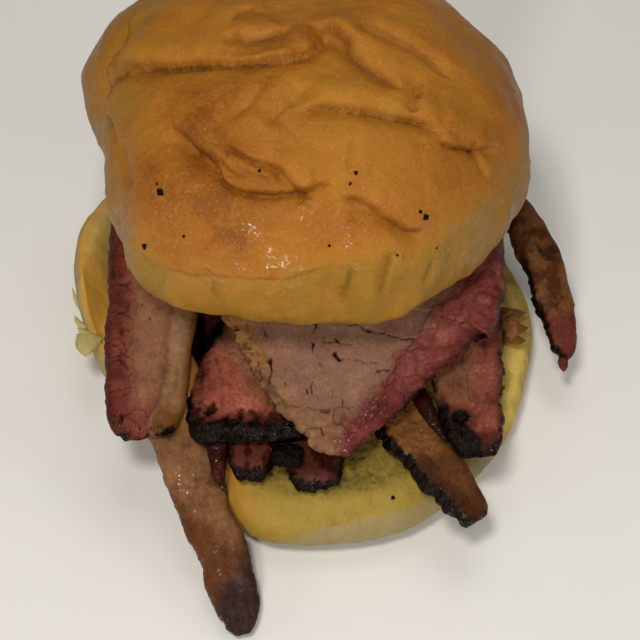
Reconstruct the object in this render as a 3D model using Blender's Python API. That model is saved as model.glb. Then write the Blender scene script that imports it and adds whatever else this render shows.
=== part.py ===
"""A brisket sandwich: smoked beef slices piled between the two halves of a soft bun.

Metres, +Z up. The origin is the centre of the flat underside of the heel, the lower half of
the bun, and -Y is the front. The named sizes below are in millimetres and degrees.
"""
import math

import bmesh
import bpy
import numpy as np

MM = 0.001

# ---- heel: the lower half of the bun -------------------------------------------------------
HEEL_RX = 57.0                 # half the width of the heel
HEEL_RY = 54.5                 # half its depth
HEEL_SQUARE = 2.15             # 2 is a true ellipse, more is squarer
HEEL_TOP = 16.6                # height of the cut crumb face at the middle
HEEL_SAG = 0.8                 # the face sinks this much from its middle to its border
HEEL_SINK = 1.7                # and this much down to its rounded rim
HEEL_FACE = 0.955              # share of the outline taken by the cut face
HEEL_EDGE = 38.0               # degrees turned by the rounded rim
HEEL_FOOT = 0.74               # share of the outline that rests flat
HEEL_STILL = (4.0, 12.0)       # curl, press and lumps fade in between these heights
HEEL_LUMP = 0.35               # height of the crumb's soft lumps
HEEL_LUMP_SIZE = 11.0
HEEL_DENTS = (                 # (direction, half spread, change of radius) of the outline
    (217.5, 30.5, -14.5),      # pressed in where the beef hangs over the front left
    (332.0, 30.0, -3.6),       # drawn in at the front right
    (143.0, 26.0, 6.0),        # pushed out at the back left
)
CURL_WAY = 165.0               # the rim curls up in this direction
CURL_FROM = 47.0               # beyond this distance from the middle
CURL_RUN = 10.0
CURL_RISE = 14.5
CURL_SPAN = (20.0, 26.0)       # middle and half length of the curled stretch, along Y
CURL_FADE = 12.0               # it ends over this length
PRESS_AT = (-32.0, -31.0)      # the crumb is pressed down under the left strip
PRESS_REACH = 13.0
PRESS_DEPTH = 4.2

# ---- crown: the upper half, pushed back over the heel --------------------------------------
CROWN_AT = (-1.2, 20.7, 59.6)
CROWN_RX = 51.8
CROWN_RY = 50.0
CROWN_SQUARE = 2.3
CROWN_RISE = 33.0              # from its widest level up to the top
CROWN_DROP = 14.5              # from its widest level down to the cut face
CROWN_DOME = 2.2               # roundness of the dome, 2 is elliptic
CROWN_LIP = 3.2                # roundness of the lip below the widest level
CROWN_CUT = 0.72               # share of the outline taken by the flat cut face
CROWN_TILT = -4.0              # leans back about the X axis
CROWN_DENTS = (                # (direction, half spread, change of radius) of the outline
    (195.0, 25.0, -5.0),       # flat left side
    (140.0, 25.0, 6.5),        # lobe at the back left
    (322.0, 24.0, -3.5),       # drawn in at the front right
    (262.0, 30.0, -2.0),       # and a little in front
)
CROWN_HUB = -18.0              # dents and folds move the crust away from this point below
CROWN_LUMPS = (                # soft unevenness of the crust: height, size, seed
    (0.9, 21.0, 5),
    (0.35, 9.0, 6),
)
# Folds of the crust, in plan from the crown's middle: start, end, how far the fold bows out
# to the left of its way, width of the furrow, depth of the furrow.
CROWN_FOLDS = (
    ((-44.0, 6.5), (-3.4, -7.0), -3.2, 2.5, 1.7),
    ((-3.4, -7.0), (5.2, 3.5), -2.4, 2.4, 1.4),
    ((-36.0, 23.0), (-46.0, -3.0), -1.8, 2.9, 2.3),
    ((-32.0, -14.5), (3.5, -36.5), -8.5, 2.8, 2.4),
    ((-19.0, -26.5), (-1.0, -36.5), 0.5, 2.4, 1.2),
    ((0.5, 4.5), (21.0, -14.5), 0.6, 2.4, 1.4),
    ((10.5, 4.0), (33.0, -7.5), 1.6, 2.4, 1.4),
    ((-3.0, -21.7), (32.5, -20.4), 0.8, 2.5, 1.3),
    ((-7.5, -25.5), (2.5, -14.0), -0.8, 4.0, 0.9),
    ((31.0, -22.0), (43.5, -18.4), 0.3, 2.4, 1.1),
    ((6.5, -38.7), (28.0, -39.6), -1.8, 2.5, 1.3),
    ((-18.5, 2.8), (-2.0, 2.8), -3.0, 2.4, 1.0),
    ((-41.5, -10.0), (-37.5, -28.0), -0.6, 2.5, 0.9),
)
FOLD_FADE = 0.25               # share of a fold's length over which each end fades
SHOULDER_HEIGHT = 0.45         # of the raised shoulder on its left, against its depth
SHOULDER_AWAY = 1.9            # the shoulder's distance from the furrow, in furrow widths
SHOULDER_WIDE = 1.3            # and its width, in furrow widths

# ---- beef slices and strips ----------------------------------------------------------------
# Each runs from its end at the back, through the sandwich, to the end that shows in front.
# A station is (x, y, z, half width, thickness) at the middle of the slice.
BEEF = {
    "slice_front": (
        (13.0, 62.0, 36.8, 24.0, 7.8),
        (12.0, 36.0, 39.3, 30.5, 8.4),
        (13.2, 5.0, 40.4, 32.8, 9.4),
        (9.2, -9.0, 38.5, 32.2, 8.4),
        (7.9, -17.0, 35.2, 26.8, 7.2),
        (6.9, -25.0, 31.9, 19.8, 6.2),
        (6.2, -33.0, 28.9, 12.6, 5.2),
        (5.4, -42.3, 25.6, 3.6, 4.0),
    ),
    "slice_left": (
        (-34.0, 53.0, 37.0, 10.0, 7.2),
        (-36.0, 27.0, 39.3, 10.8, 8.2),
        (-37.0, 3.0, 39.6, 10.5, 9.2),
        (-36.8, -9.0, 35.6, 10.7, 8.6),
        (-37.6, -21.0, 29.4, 10.0, 7.8),
        (-37.8, -30.0, 24.8, 9.0, 6.2),
        (-37.0, -35.4, 22.4, 7.2, 4.4),
    ),
    "slice_charred": (
        (-10.0, 60.0, 29.2, 12.5, 7.0),
        (-12.0, 15.0, 30.4, 13.8, 8.0),
        (-12.5, -6.0, 28.4, 13.5, 6.4),
        (-12.5, -18.0, 25.3, 13.5, 5.4),
        (-13.0, -29.0, 23.9, 13.8, 4.8),
        (-12.5, -37.0, 23.6, 11.6, 4.0),
    ),
    "slice_right": (
        (31.0, 57.0, 29.2, 14.0, 7.0),
        (30.0, 20.0, 30.4, 16.0, 8.2),
        (32.5, 0.0, 30.0, 14.2, 7.8),
        (36.2, -14.0, 27.4, 9.4, 6.8),
        (37.0, -27.0, 25.0, 7.8, 5.2),
        (38.0, -34.5, 23.6, 6.8, 4.4),
        (38.6, -40.4, 22.2, 4.6, 3.8),
    ),
    "slice_end_left": (
        (-17.0, 45.0, 21.1, 6.8, 7.0),
        (-18.0, 5.0, 21.3, 8.4, 7.6),
        (-16.5, -20.0, 19.6, 7.5, 4.2),
        (-14.0, -33.0, 19.1, 5.8, 3.6),
        (-13.4, -40.0, 19.0, 5.2, 3.6),
        (-13.4, -44.6, 18.8, 3.8, 3.2),
    ),
    "slice_end_middle": (
        (1.5, 53.0, 21.1, 9.0, 7.0),
        (0.5, 10.0, 21.3, 9.2, 7.6),
        (0.5, -20.0, 19.6, 8.0, 4.2),
        (0.5, -36.0, 19.3, 7.4, 3.8),
        (1.2, -43.0, 19.3, 6.6, 4.2),
        (1.2, -47.6, 19.1, 4.4, 3.2),
    ),
    "slice_inner_left": (
        (-35.5, 47.0, 29.2, 8.6, 7.0),
        (-37.0, 20.0, 30.4, 9.8, 8.0),
        (-37.0, 0.0, 29.7, 9.8, 7.0),
        (-37.0, -7.0, 27.8, 8.0, 5.0),
    ),
    "slice_inner_right": (
        (35.8, 24.0, 21.1, 5.0, 6.8),
        (37.5, 8.0, 21.4, 6.8, 7.6),
        (38.5, -4.0, 21.1, 7.0, 6.8),
        (38.5, -12.0, 19.9, 5.6, 4.8),
    ),
    "fat_strip_left": (
        (-31.0, 44.0, 21.4, 6.2, 7.0),
        (-36.6, 15.0, 21.4, 7.8, 7.6),
        (-37.3, -8.0, 21.0, 7.6, 7.0),
        (-33.4, -26.0, 17.7, 6.8, 6.2),
        (-28.8, -38.5, 16.8, 5.8, 6.0),
        (-24.5, -47.5, 12.4, 5.7, 7.0),
        (-19.7, -57.0, 7.4, 5.8, 7.0),
        (-16.4, -67.0, 4.2, 5.6, 6.4),
        (-14.8, -75.5, 3.0, 3.1, 4.6),
    ),
    "fat_strip_right": (
        (21.6, 52.0, 21.1, 8.8, 7.0),
        (20.4, 12.0, 21.3, 9.2, 7.6),
        (20.2, -14.0, 20.2, 7.6, 5.4),
        (20.6, -27.0, 19.8, 7.0, 4.6),
        (26.2, -37.0, 19.8, 6.4, 5.0),
        (32.3, -46.0, 18.9, 5.4, 5.4),
        (38.6, -53.8, 16.2, 3.8, 4.4),
    ),
    "strip_far_right": (
        (37.5, 57.0, 21.0, 5.8, 6.6),
        (45.5, 44.0, 21.6, 5.6, 6.8),
        (53.6, 31.0, 22.0, 5.0, 6.4),
        (57.6, 18.0, 21.8, 5.0, 6.2),
        (60.2, 7.0, 19.4, 5.0, 5.6),
        (61.8, -1.0, 16.2, 4.2, 5.0),
        (62.8, -7.0, 13.6, 2.4, 3.8),
    ),
}
# Small loose lumps: middle, half sizes.
LUMPS = {
    "scrap_left": ((-20.9, -41.2, 19.4), (1.6, 4.0, 1.7)),
    "scrap_right": ((48.8, 0.0, 18.9), (2.8, 4.2, 2.0)),
    "bark_lump": ((-4.8, -41.3, 23.7), (3.9, 2.9, 2.0)),
}
END_ROUND = 3.0                # length over which a slice's two ends round off
END_THIN = 0.283               # share of its thickness left at their tips
END_NARROW = 1.5               # and how much narrower it is there, each side, at no thickness
EDGE_ROUND = 0.55              # how far its side edges round off, as a share of its thickness
EDGE_MOST = 0.8                # and the most, as a share of half its width
BACK_ROUND = 14.0              # length over which its corners at the back round off
BACK_NARROW = 0.45             # share of its width lost there
CRAG_SIZE = 7.0                # size of the crags in the beef
CRAG_FACE = 0.25               # their depth on the faces
CRAG_EDGE = 0.8                # and along the edges
LUMP_CRAG = 0.16               # their share of a loose lump's size
LUMP_CRAG_SIZE = 2.6

# ---- how finely the surfaces are divided ---------------------------------------------------
HEEL_GRID = 22
HEEL_RINGS = 6
CROWN_GRID = 34
CROWN_RINGS = 5
STATION_STEP = 5.0
FACE_STEPS = 4
EDGE_STEPS = 4


def clear_scene():
    """Remove every object that the new file starts with."""
    for thing in list(bpy.data.objects):
        bpy.data.objects.remove(thing, do_unlink=True)


def make_material(name, colour, roughness):
    """Return a plain food material."""
    material = bpy.data.materials.new(name)
    material.use_nodes = True
    shader = material.node_tree.nodes["Principled BSDF"]
    shader.inputs["Base Color"].default_value = (*colour, 1.0)
    shader.inputs["Roughness"].default_value = roughness
    shader.inputs["Metallic"].default_value = 0.0
    return material


def lattice(cells, seed):
    """Return a repeatable number from -1 to 1 for each whole-number grid point."""
    mix = cells @ np.array([127.1, 311.7, 74.7]) + seed * 19.19
    wave = np.sin(mix) * 43758.5453
    return (wave - np.floor(wave)) * 2.0 - 1.0


def noise(points, size, seed):
    """Return smooth noise from -1 to 1 at each point, with lumps of the given size."""
    scaled = np.asarray(points, dtype=float) / size
    cell = np.floor(scaled)
    part = scaled - cell
    part = part * part * (3.0 - 2.0 * part)
    total = np.zeros(len(scaled))
    for corner in np.ndindex(2, 2, 2):
        side = np.array(corner, dtype=float)
        weight = np.prod(np.where(side > 0, part, 1.0 - part), axis=1)
        total += weight * lattice(cell + side, seed)
    return total


def smooth_step(value):
    """Return 0 below 0, 1 above 1 and a smooth rise between."""
    value = np.clip(value, 0.0, 1.0)
    return value * value * (3.0 - 2.0 * value)


def outline_radius(angle, rx, ry, power, dents):
    """Return the radius of a squarish, dented outline in each direction."""
    across = np.abs(np.cos(angle) / rx) ** power
    along = np.abs(np.sin(angle) / ry) ** power
    radius = (across + along) ** (-1.0 / power)
    for direction, spread, change in dents:
        turn = np.degrees(angle) - direction
        turn = (turn + 180.0) % 360.0 - 180.0
        radius = radius + change * np.exp(-(turn / spread) ** 4)
    return radius


def disc_grid(count):
    """Return radius share, angle and quads of a square grid pulled into a disc."""
    line = np.linspace(-1.0, 1.0, count + 1)
    x, y = np.meshgrid(line, line)
    x, y = x.ravel(), y.ravel()
    radius = np.maximum(np.abs(x), np.abs(y))
    wide = np.abs(x) >= np.abs(y)
    ratio = np.where(wide, y, x) / np.where(radius > 0, np.where(wide, x, y), 1.0)
    angle = np.where(wide, ratio * math.pi / 4.0, math.pi / 2.0 - ratio * math.pi / 4.0)
    flip = np.where(wide, x < 0, y < 0)
    angle = angle + np.where(flip, math.pi, 0.0)
    quads = []
    for row in range(count):
        for column in range(count):
            first = row * (count + 1) + column
            quads.append((first, first + 1, first + count + 2, first + count + 1))
    return radius, angle, quads


def disc_border(count):
    """Return the indices round the border of disc_grid, anticlockwise."""
    wide = count + 1
    bottom = [column for column in range(count)]
    right = [row * wide + count for row in range(count)]
    top = [count * wide + column for column in range(count, 0, -1)]
    left = [row * wide for row in range(count, 0, -1)]
    return bottom + right + top + left


def mesh_object(name, points, faces, material):
    """Make one closed, triangulated, smooth object from points in millimetres."""
    mesh = bpy.data.meshes.new(name)
    mesh.from_pydata([tuple(point) for point in np.asarray(points) * MM], [], faces)
    work = bmesh.new()
    work.from_mesh(mesh)
    bmesh.ops.triangulate(work, faces=work.faces[:])
    bmesh.ops.recalc_face_normals(work, faces=work.faces[:])
    work.to_mesh(mesh)
    work.free()
    mesh.shade_smooth()
    mesh.materials.append(material)
    thing = bpy.data.objects.new(name, mesh)
    bpy.context.collection.objects.link(thing)
    return thing


def bun_half(name, grid, rings, top_point, side_point, material):
    """Make a bun half: a disc grid above, rings down its side and one flat face below."""
    share, angle, faces = disc_grid(grid)
    points = [top_point(share, angle)]
    border = disc_border(grid)
    border_angle = angle[border]
    above = border
    count = len(share)
    for ring in range(1, rings + 1):
        points.append(side_point(ring / rings, border_angle))
        below = [count + step for step in range(len(border))]
        count += len(border)
        for step in range(len(border)):
            after = (step + 1) % len(border)
            faces.append((above[step], below[step], below[after], above[after]))
        above = below
    faces.append(tuple(reversed(above)))
    return mesh_object(name, np.vstack(points), faces, material)


def heel_shift(points):
    """Curl the left rim up, press the crumb down under the strip and roughen the crumb."""
    x, y, z = points.T
    middle, half = CURL_SPAN
    along = 1.0 - smooth_step((np.abs(y - middle) - half) / CURL_FADE)
    way = math.radians(CURL_WAY)
    outward = x * math.cos(way) + y * math.sin(way)
    curl = CURL_RISE * smooth_step((outward - CURL_FROM) / CURL_RUN) * along
    reach = np.hypot(x - PRESS_AT[0], y - PRESS_AT[1]) / PRESS_REACH
    upper = smooth_step((z - HEEL_STILL[0]) / (HEEL_STILL[1] - HEEL_STILL[0]))
    press = PRESS_DEPTH * np.exp(-reach ** 2) * upper
    lumps = HEEL_LUMP * noise(points, HEEL_LUMP_SIZE, 3) * upper
    return np.column_stack((x, y, z + curl - press + lumps))


def heel_top(share, angle):
    """Return points of the heel's cut face, which sinks a little towards the rim."""
    radius = outline_radius(angle, HEEL_RX, HEEL_RY, HEEL_SQUARE, HEEL_DENTS)
    reach = radius * share * HEEL_FACE
    border = smooth_step((share - 0.9) / 0.1)
    height = HEEL_TOP - HEEL_SAG * share ** 4 - (HEEL_SINK - HEEL_SAG) * border
    points = np.column_stack((reach * np.cos(angle), reach * np.sin(angle), height))
    return heel_shift(points)


def heel_side(step, angle):
    """Return one ring of the heel's side, from the cut face's edge down to the foot."""
    radius = outline_radius(angle, HEEL_RX, HEEL_RY, HEEL_SQUARE, HEEL_DENTS)
    edge = math.radians(HEEL_EDGE)
    turn = edge - step * (edge + math.pi / 2.0)
    if turn > 0.0:
        rise = math.sin(turn) / math.sin(edge)
        share = 1.0 - (1.0 - HEEL_FACE) * (turn / edge) ** 2
    else:
        rise = math.sin(turn)
        share = HEEL_FOOT + (1.0 - HEEL_FOOT) * math.cos(turn)
    level = (HEEL_TOP - HEEL_SINK) * (1.0 + rise) / 2.0
    reach = radius * share
    points = np.column_stack((reach * np.cos(angle), reach * np.sin(angle),
                              np.full(len(angle), level)))
    if step == 1.0:
        return points
    return heel_shift(points)


def make_heel():
    """Make the lower half of the bun."""
    crust = make_material("bun_heel", (0.60, 0.38, 0.13), 0.7)
    return bun_half("heel", HEEL_GRID, HEEL_RINGS, heel_top, heel_side, crust)


def dome_height(share):
    """Return the height of the crown's dome above its widest level."""
    share = np.clip(share, 0.0, 1.0)
    return CROWN_RISE * (1.0 - share ** CROWN_DOME) ** (1.0 / CROWN_DOME)


def on_dome(plan):
    """Lift points given in plan onto the crown's dome."""
    plan = np.asarray(plan, dtype=float)
    angle = np.arctan2(plan[:, 1], plan[:, 0])
    radius = outline_radius(angle, CROWN_RX, CROWN_RY, CROWN_SQUARE, CROWN_DENTS)
    share = np.hypot(plan[:, 0], plan[:, 1]) / radius
    return np.column_stack((plan, dome_height(share)))


def fold_path(start, end, bow, steps=9):
    """Return points on the dome along one bowed fold."""
    start, end = np.array(start), np.array(end)
    way = end - start
    left = np.array([-way[1], way[0]]) / np.linalg.norm(way)
    share = np.linspace(0.0, 1.0, steps)[:, None]
    return on_dome(start + way * share + left * bow * 4.0 * share * (1.0 - share))


def fold_depth(points, path, width, depth):
    """Return how far a fold moves the crust: a furrow with a raised left shoulder."""
    best = np.full(len(points), 1e9)
    signed = np.zeros(len(points))
    along = np.zeros(len(points))
    pieces = len(path) - 1
    for piece in range(pieces):
        start, way = path[piece], path[piece + 1] - path[piece]
        offset = points - start
        share = np.clip(offset @ way / (way @ way), 0.0, 1.0)
        gap = offset - share[:, None] * way
        distance = np.linalg.norm(gap, axis=1)
        side = np.sign(way[0] * offset[:, 1] - way[1] * offset[:, 0])
        nearer = distance < best
        best = np.where(nearer, distance, best)
        signed = np.where(nearer, distance * side, signed)
        along = np.where(nearer, (piece + share) / pieces, along)
    ends = smooth_step(along / FOLD_FADE) * smooth_step((1.0 - along) / FOLD_FADE)
    furrow = np.exp(-(best / width) ** 2)
    away = signed - SHOULDER_AWAY * width
    shoulder = np.exp(-(away / (SHOULDER_WIDE * width)) ** 2)
    return depth * ends * (SHOULDER_HEIGHT * shoulder - furrow)


def crown_crust(points):
    """Wrinkle the crust and give it broad soft dents."""
    outward = points - np.array([0.0, 0.0, CROWN_HUB])
    outward = outward / np.linalg.norm(outward, axis=1)[:, None]
    shift = sum(height * noise(points, size, seed) for height, size, seed in CROWN_LUMPS)
    for start, end, bow, width, depth in CROWN_FOLDS:
        shift = shift + fold_depth(points, fold_path(start, end, bow), width, depth)
    return points + outward * shift[:, None]


def crown_place(points):
    """Tilt the crown back and set it on the beef."""
    tilt = math.radians(CROWN_TILT)
    x, y, z = points.T
    back = y * math.cos(tilt) - z * math.sin(tilt)
    up = y * math.sin(tilt) + z * math.cos(tilt)
    return np.column_stack((x, back, up)) + np.array(CROWN_AT)


def crown_top(share, angle):
    """Return points of the dome, down to its widest level."""
    radius = outline_radius(angle, CROWN_RX, CROWN_RY, CROWN_SQUARE, CROWN_DENTS)
    share = np.sin(share * math.pi / 2.0)
    reach = radius * share
    points = np.column_stack((reach * np.cos(angle), reach * np.sin(angle),
                              dome_height(share)))
    return crown_place(crown_crust(points))


def crown_side(step, angle):
    """Return one ring of the lip, from the widest level down to the cut face."""
    radius = outline_radius(angle, CROWN_RX, CROWN_RY, CROWN_SQUARE, CROWN_DENTS)
    share = 1.0 - (1.0 - CROWN_CUT) * (1.0 - math.cos(step * math.pi / 2.0))
    drop = CROWN_DROP * math.sin(step * math.pi / 2.0) ** (2.0 / CROWN_LIP)
    reach = radius * share
    points = np.column_stack((reach * np.cos(angle), reach * np.sin(angle),
                              np.full(len(angle), -drop)))
    if step == 1.0:
        return crown_place(points)
    return crown_place(crown_crust(points))


def make_crown():
    """Make the upper half of the bun."""
    crust = make_material("bun_crown", (0.52, 0.27, 0.07), 0.45)
    return bun_half("crown", CROWN_GRID, CROWN_RINGS, crown_top, crown_side, crust)


def spline(rows, count):
    """Return `count` rows on a smooth curve through the given rows, evenly spaced."""
    rows = np.array(rows)
    padded = np.vstack((2 * rows[0] - rows[1], rows, 2 * rows[-1] - rows[-2]))
    fine = []
    for piece in range(len(rows) - 1):
        before, start, end, after = padded[piece:piece + 4]
        for share in np.linspace(0.0, 1.0, 24, endpoint=False):
            fine.append(0.5 * (2 * start + (end - before) * share
                               + (2 * before - 5 * start + 4 * end - after) * share ** 2
                               + (3 * start - before - 3 * end + after) * share ** 3))
    fine.append(rows[-1])
    fine = np.array(fine)
    gone = np.concatenate(([0.0], np.cumsum(np.linalg.norm(np.diff(fine[:, :3], axis=0), axis=1))))
    marks = np.linspace(0.0, gone[-1], count)
    even = np.column_stack([np.interp(marks, gone, column) for column in fine.T])
    return even, marks


def slice_section(face_steps, edge_steps):
    """Return flat share, edge share and height share of points round a slice's section."""
    section = []
    for step in range(face_steps):
        section.append((1.0 - 2.0 * step / face_steps, 0.0, 1.0))
    for step in range(edge_steps):
        turn = math.pi * step / edge_steps
        section.append((-1.0, -math.sin(turn), math.cos(turn)))
    for step in range(face_steps):
        section.append((2.0 * step / face_steps - 1.0, 0.0, -1.0))
    for step in range(edge_steps):
        turn = math.pi * step / edge_steps
        section.append((1.0, math.sin(turn), -math.cos(turn)))
    return np.array(section)


def slice_points(rows, count, section, seed):
    """Return the points of a bent slice, station by station."""
    rows, gone = spline(rows, count)
    middle, half, thick = rows[:, :3], rows[:, 3], rows[:, 4]
    way = np.gradient(middle, axis=0)
    way = way / np.linalg.norm(way, axis=1)[:, None]
    across = np.column_stack((-way[:, 1], way[:, 0], np.zeros(count)))
    across = across / np.linalg.norm(across, axis=1)[:, None]
    upward = np.cross(way, across)
    near_end = np.clip(np.minimum(gone, gone[-1] - gone) / END_ROUND, 0.0, 1.0)
    rounding = np.sqrt(np.clip(1.0 - (1.0 - near_end) ** 2, END_THIN ** 2, 1.0))
    thick = thick * rounding
    corner = 1.0 - np.clip(gone / BACK_ROUND, 0.0, 1.0)
    half = half * (1.0 - BACK_NARROW * corner ** 2.5) - (1.0 - rounding) * END_NARROW
    edge = np.minimum(EDGE_ROUND * thick, EDGE_MOST * half)
    points = []
    for station in range(count):
        flat, side, level = section.T
        reach = flat * (half[station] - edge[station]) + side * edge[station]
        lift = level * thick[station] / 2.0
        points.append(middle[station] + reach[:, None] * across[station]
                      + lift[:, None] * upward[station])
    points = np.vstack(points)
    outward = points - np.repeat(middle, len(section), axis=0)
    outward = outward / np.linalg.norm(outward, axis=1)[:, None]
    rough = CRAG_FACE + (CRAG_EDGE - CRAG_FACE) * np.abs(np.tile(section[:, 1], count))
    crag = noise(points, CRAG_SIZE, seed) * rough
    return points + outward * crag[:, None]


def make_slice(name, rows, seed, material):
    """Make one slice or strip of beef as a bent, craggy slab."""
    section = slice_section(FACE_STEPS, EDGE_STEPS)
    length = sum(math.dist(start[:3], end[:3]) for start, end in zip(rows, rows[1:]))
    count = max(6, round(length / STATION_STEP) + 1)
    points = slice_points(rows, count, section, seed)
    around = len(section)
    faces = [tuple(range(around))]
    for station in range(count - 1):
        first = station * around
        for step in range(around):
            after = (step + 1) % around
            faces.append((first + step, first + around + step,
                          first + around + after, first + after))
    faces.append(tuple(range(count * around - 1, (count - 1) * around - 1, -1)))
    return mesh_object(name, points, faces, material)


def make_lump(name, middle, half_sizes, seed, material):
    """Make one small craggy scrap of beef."""
    work = bmesh.new()
    bmesh.ops.create_icosphere(work, subdivisions=2, radius=1.0)
    balls = np.array([vertex.co[:] for vertex in work.verts])
    faces = [tuple(vertex.index for vertex in face.verts) for face in work.faces]
    work.free()
    sized = balls * np.array(half_sizes)
    crag = 1.0 + LUMP_CRAG * noise(sized, LUMP_CRAG_SIZE, seed)
    return mesh_object(name, sized * crag[:, None] + np.array(middle), faces, material)


def make_beef():
    """Make every slice, strip and scrap of beef."""
    lean = make_material("smoked_beef", (0.24, 0.10, 0.07), 0.5)
    fat = make_material("rendered_fat", (0.20, 0.08, 0.03), 0.35)
    bark = make_material("black_bark", (0.02, 0.015, 0.013), 0.45)
    pieces = []
    for seed, (name, rows) in enumerate(BEEF.items(), start=11):
        material = lean if name.startswith("slice") else fat
        pieces.append(make_slice(name, rows, seed, material))
    for seed, (name, (middle, half_sizes)) in enumerate(LUMPS.items(), start=41):
        material = bark if name.startswith("bark") else lean
        pieces.append(make_lump(name, middle, half_sizes, seed, material))
    return pieces


def main():
    """Make the whole sandwich and hang it on one empty."""
    clear_scene()
    pieces = [make_heel(), make_crown()] + make_beef()
    sandwich = bpy.data.objects.new("sandwich", None)
    bpy.context.collection.objects.link(sandwich)
    for piece in pieces:
        piece.parent = sandwich


main()
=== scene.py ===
"""The looks of a brisket sandwich: fine surfaces, finishes, light and camera.

The named sizes are in millimetres and degrees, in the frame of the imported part: the origin is
the centre of the heel's flat underside, +Z is up and -Y is the front.
"""
import math

import bmesh
import bpy
import numpy as np
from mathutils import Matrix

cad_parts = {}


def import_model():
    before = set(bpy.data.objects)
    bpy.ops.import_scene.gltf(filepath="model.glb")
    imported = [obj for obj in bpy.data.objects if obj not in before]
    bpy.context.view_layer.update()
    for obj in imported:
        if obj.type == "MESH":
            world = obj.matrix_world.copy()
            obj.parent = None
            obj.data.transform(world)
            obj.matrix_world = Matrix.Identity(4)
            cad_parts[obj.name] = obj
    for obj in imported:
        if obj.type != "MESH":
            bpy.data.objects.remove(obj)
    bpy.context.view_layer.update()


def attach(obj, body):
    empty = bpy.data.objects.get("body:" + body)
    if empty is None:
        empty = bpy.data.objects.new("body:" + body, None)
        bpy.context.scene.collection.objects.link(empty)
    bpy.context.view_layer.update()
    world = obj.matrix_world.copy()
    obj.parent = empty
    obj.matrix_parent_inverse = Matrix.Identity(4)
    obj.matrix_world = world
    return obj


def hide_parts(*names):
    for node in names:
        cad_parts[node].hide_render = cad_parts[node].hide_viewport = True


MM = 0.001

# Fineness of the bun's meshes: squares across a face, and rings down a side.
CROWN_GRID = 270
CROWN_RINGS = 16
CROWN_CRUMB_GRID = 110
HEEL_GRID = 246
HEEL_RINGS = 26

# ---- heel: the lower half of the bun -------------------------------------------------------
# Its outline: half widths, squareness, and dents as direction, spread and change of radius.
HEEL_RX = 57.0
HEEL_RY = 54.5
HEEL_SQUARE = 2.15
HEEL_DENTS = ((217.5, 30.5, -14.5), (332.0, 30.0, -3.6), (143.0, 26.0, 6.0))
# Its cut face: height, how far it falls near the edge and at it, its share of the radius, and
# how much its points crowd towards the edge.
HEEL_TOP = 16.6
HEEL_SAG = 0.8
HEEL_SINK = 1.7
HEEL_FACE = 0.955
HEEL_CROWD = 1.35
# Its side: the angle at which the face meets it, the foot's share of the radius, its length, and
# how far its upper edge is rolled off, over which reach, and how that is shared in and down.
HEEL_EDGE = 38.0
HEEL_FOOT = 0.74
SIDE_LENGTH = 24.0
HEEL_ROLL = 1.3
ROLL_REACH = 2.8
ROLL_IN = 0.5
ROLL_DOWN = 0.85
# How far down the side the yellow of the crumb reaches, by direction.
CRUMB_LOW = ((190.0, 215.0, 244.0, 258.0, 262.0, 267.0, 274.0, 292.0, 305.0, 340.0),
             (0.05, 0.50, 0.50, 0.44, 0.32, 0.21, 0.10, 0.06, 0.08, 0.05))
# The browned corner in front: direction, spread and strength.
TOAST_WAY = 244.0
TOAST_SPREAD = 13.0
TOAST_MOST = 0.9
# Lumps: the heights between which they set in, how high they are and their size.
HEEL_STILL = (4.0, 12.0)
HEEL_LUMP = 0.35
HEEL_LUMP_SIZE = 11.0
# The rim squeezed up at the left: direction and spread, where it turns up, over which run and how
# high, and the middle, half length and fading of the curl from back to front.
CURL_WAY = 165.0
RIM_SPREAD = 30.0
CURL_FROM = 47.0
CURL_RUN = 10.0
CURL_RISE = 14.5
CURL_SPAN = (20.0, 26.0)
CURL_FADE = 12.0
# The hollow pressed by the long strip: place, reach and depth.
PRESS_AT = (-32.0, -31.0)
PRESS_REACH = 13.0
PRESS_DEPTH = 4.2

# ---- crown: the upper half of the bun ------------------------------------------------------
# Its place, tilt, and the point that its dents and folds are pushed from.
CROWN_AT = (-1.2, 20.7, 59.6)
CROWN_TILT = -4.0
CROWN_HUB = -18.0
# Its outline, as for the heel, and its dome and puffed lip: how high the dome rises, how far the
# lip drops, how square both are, the cut face's share of the radius, and its hollow.
CROWN_RX = 51.8
CROWN_RY = 50.0
CROWN_SQUARE = 2.3
CROWN_DENTS = ((195.0, 25.0, -5.0), (140.0, 25.0, 6.5), (322.0, 24.0, -3.5), (262.0, 30.0, -2.0))
CROWN_RISE = 33.0
CROWN_DROP = 14.5
CROWN_DOME = 2.2
CROWN_LIP = 3.2
CROWN_CUT = 0.72
CROWN_HOLLOW = 1.6
HOLLOW_SHARE = 0.97
CRUMB_SHARE = 0.985
CRUMB_RIM = 1.4
# Lumps all over: height, size, seed.
CROWN_LUMPS = ((1.3, 21.0, 5), (0.6, 9.0, 6), (0.8, 13.0, 8))
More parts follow.
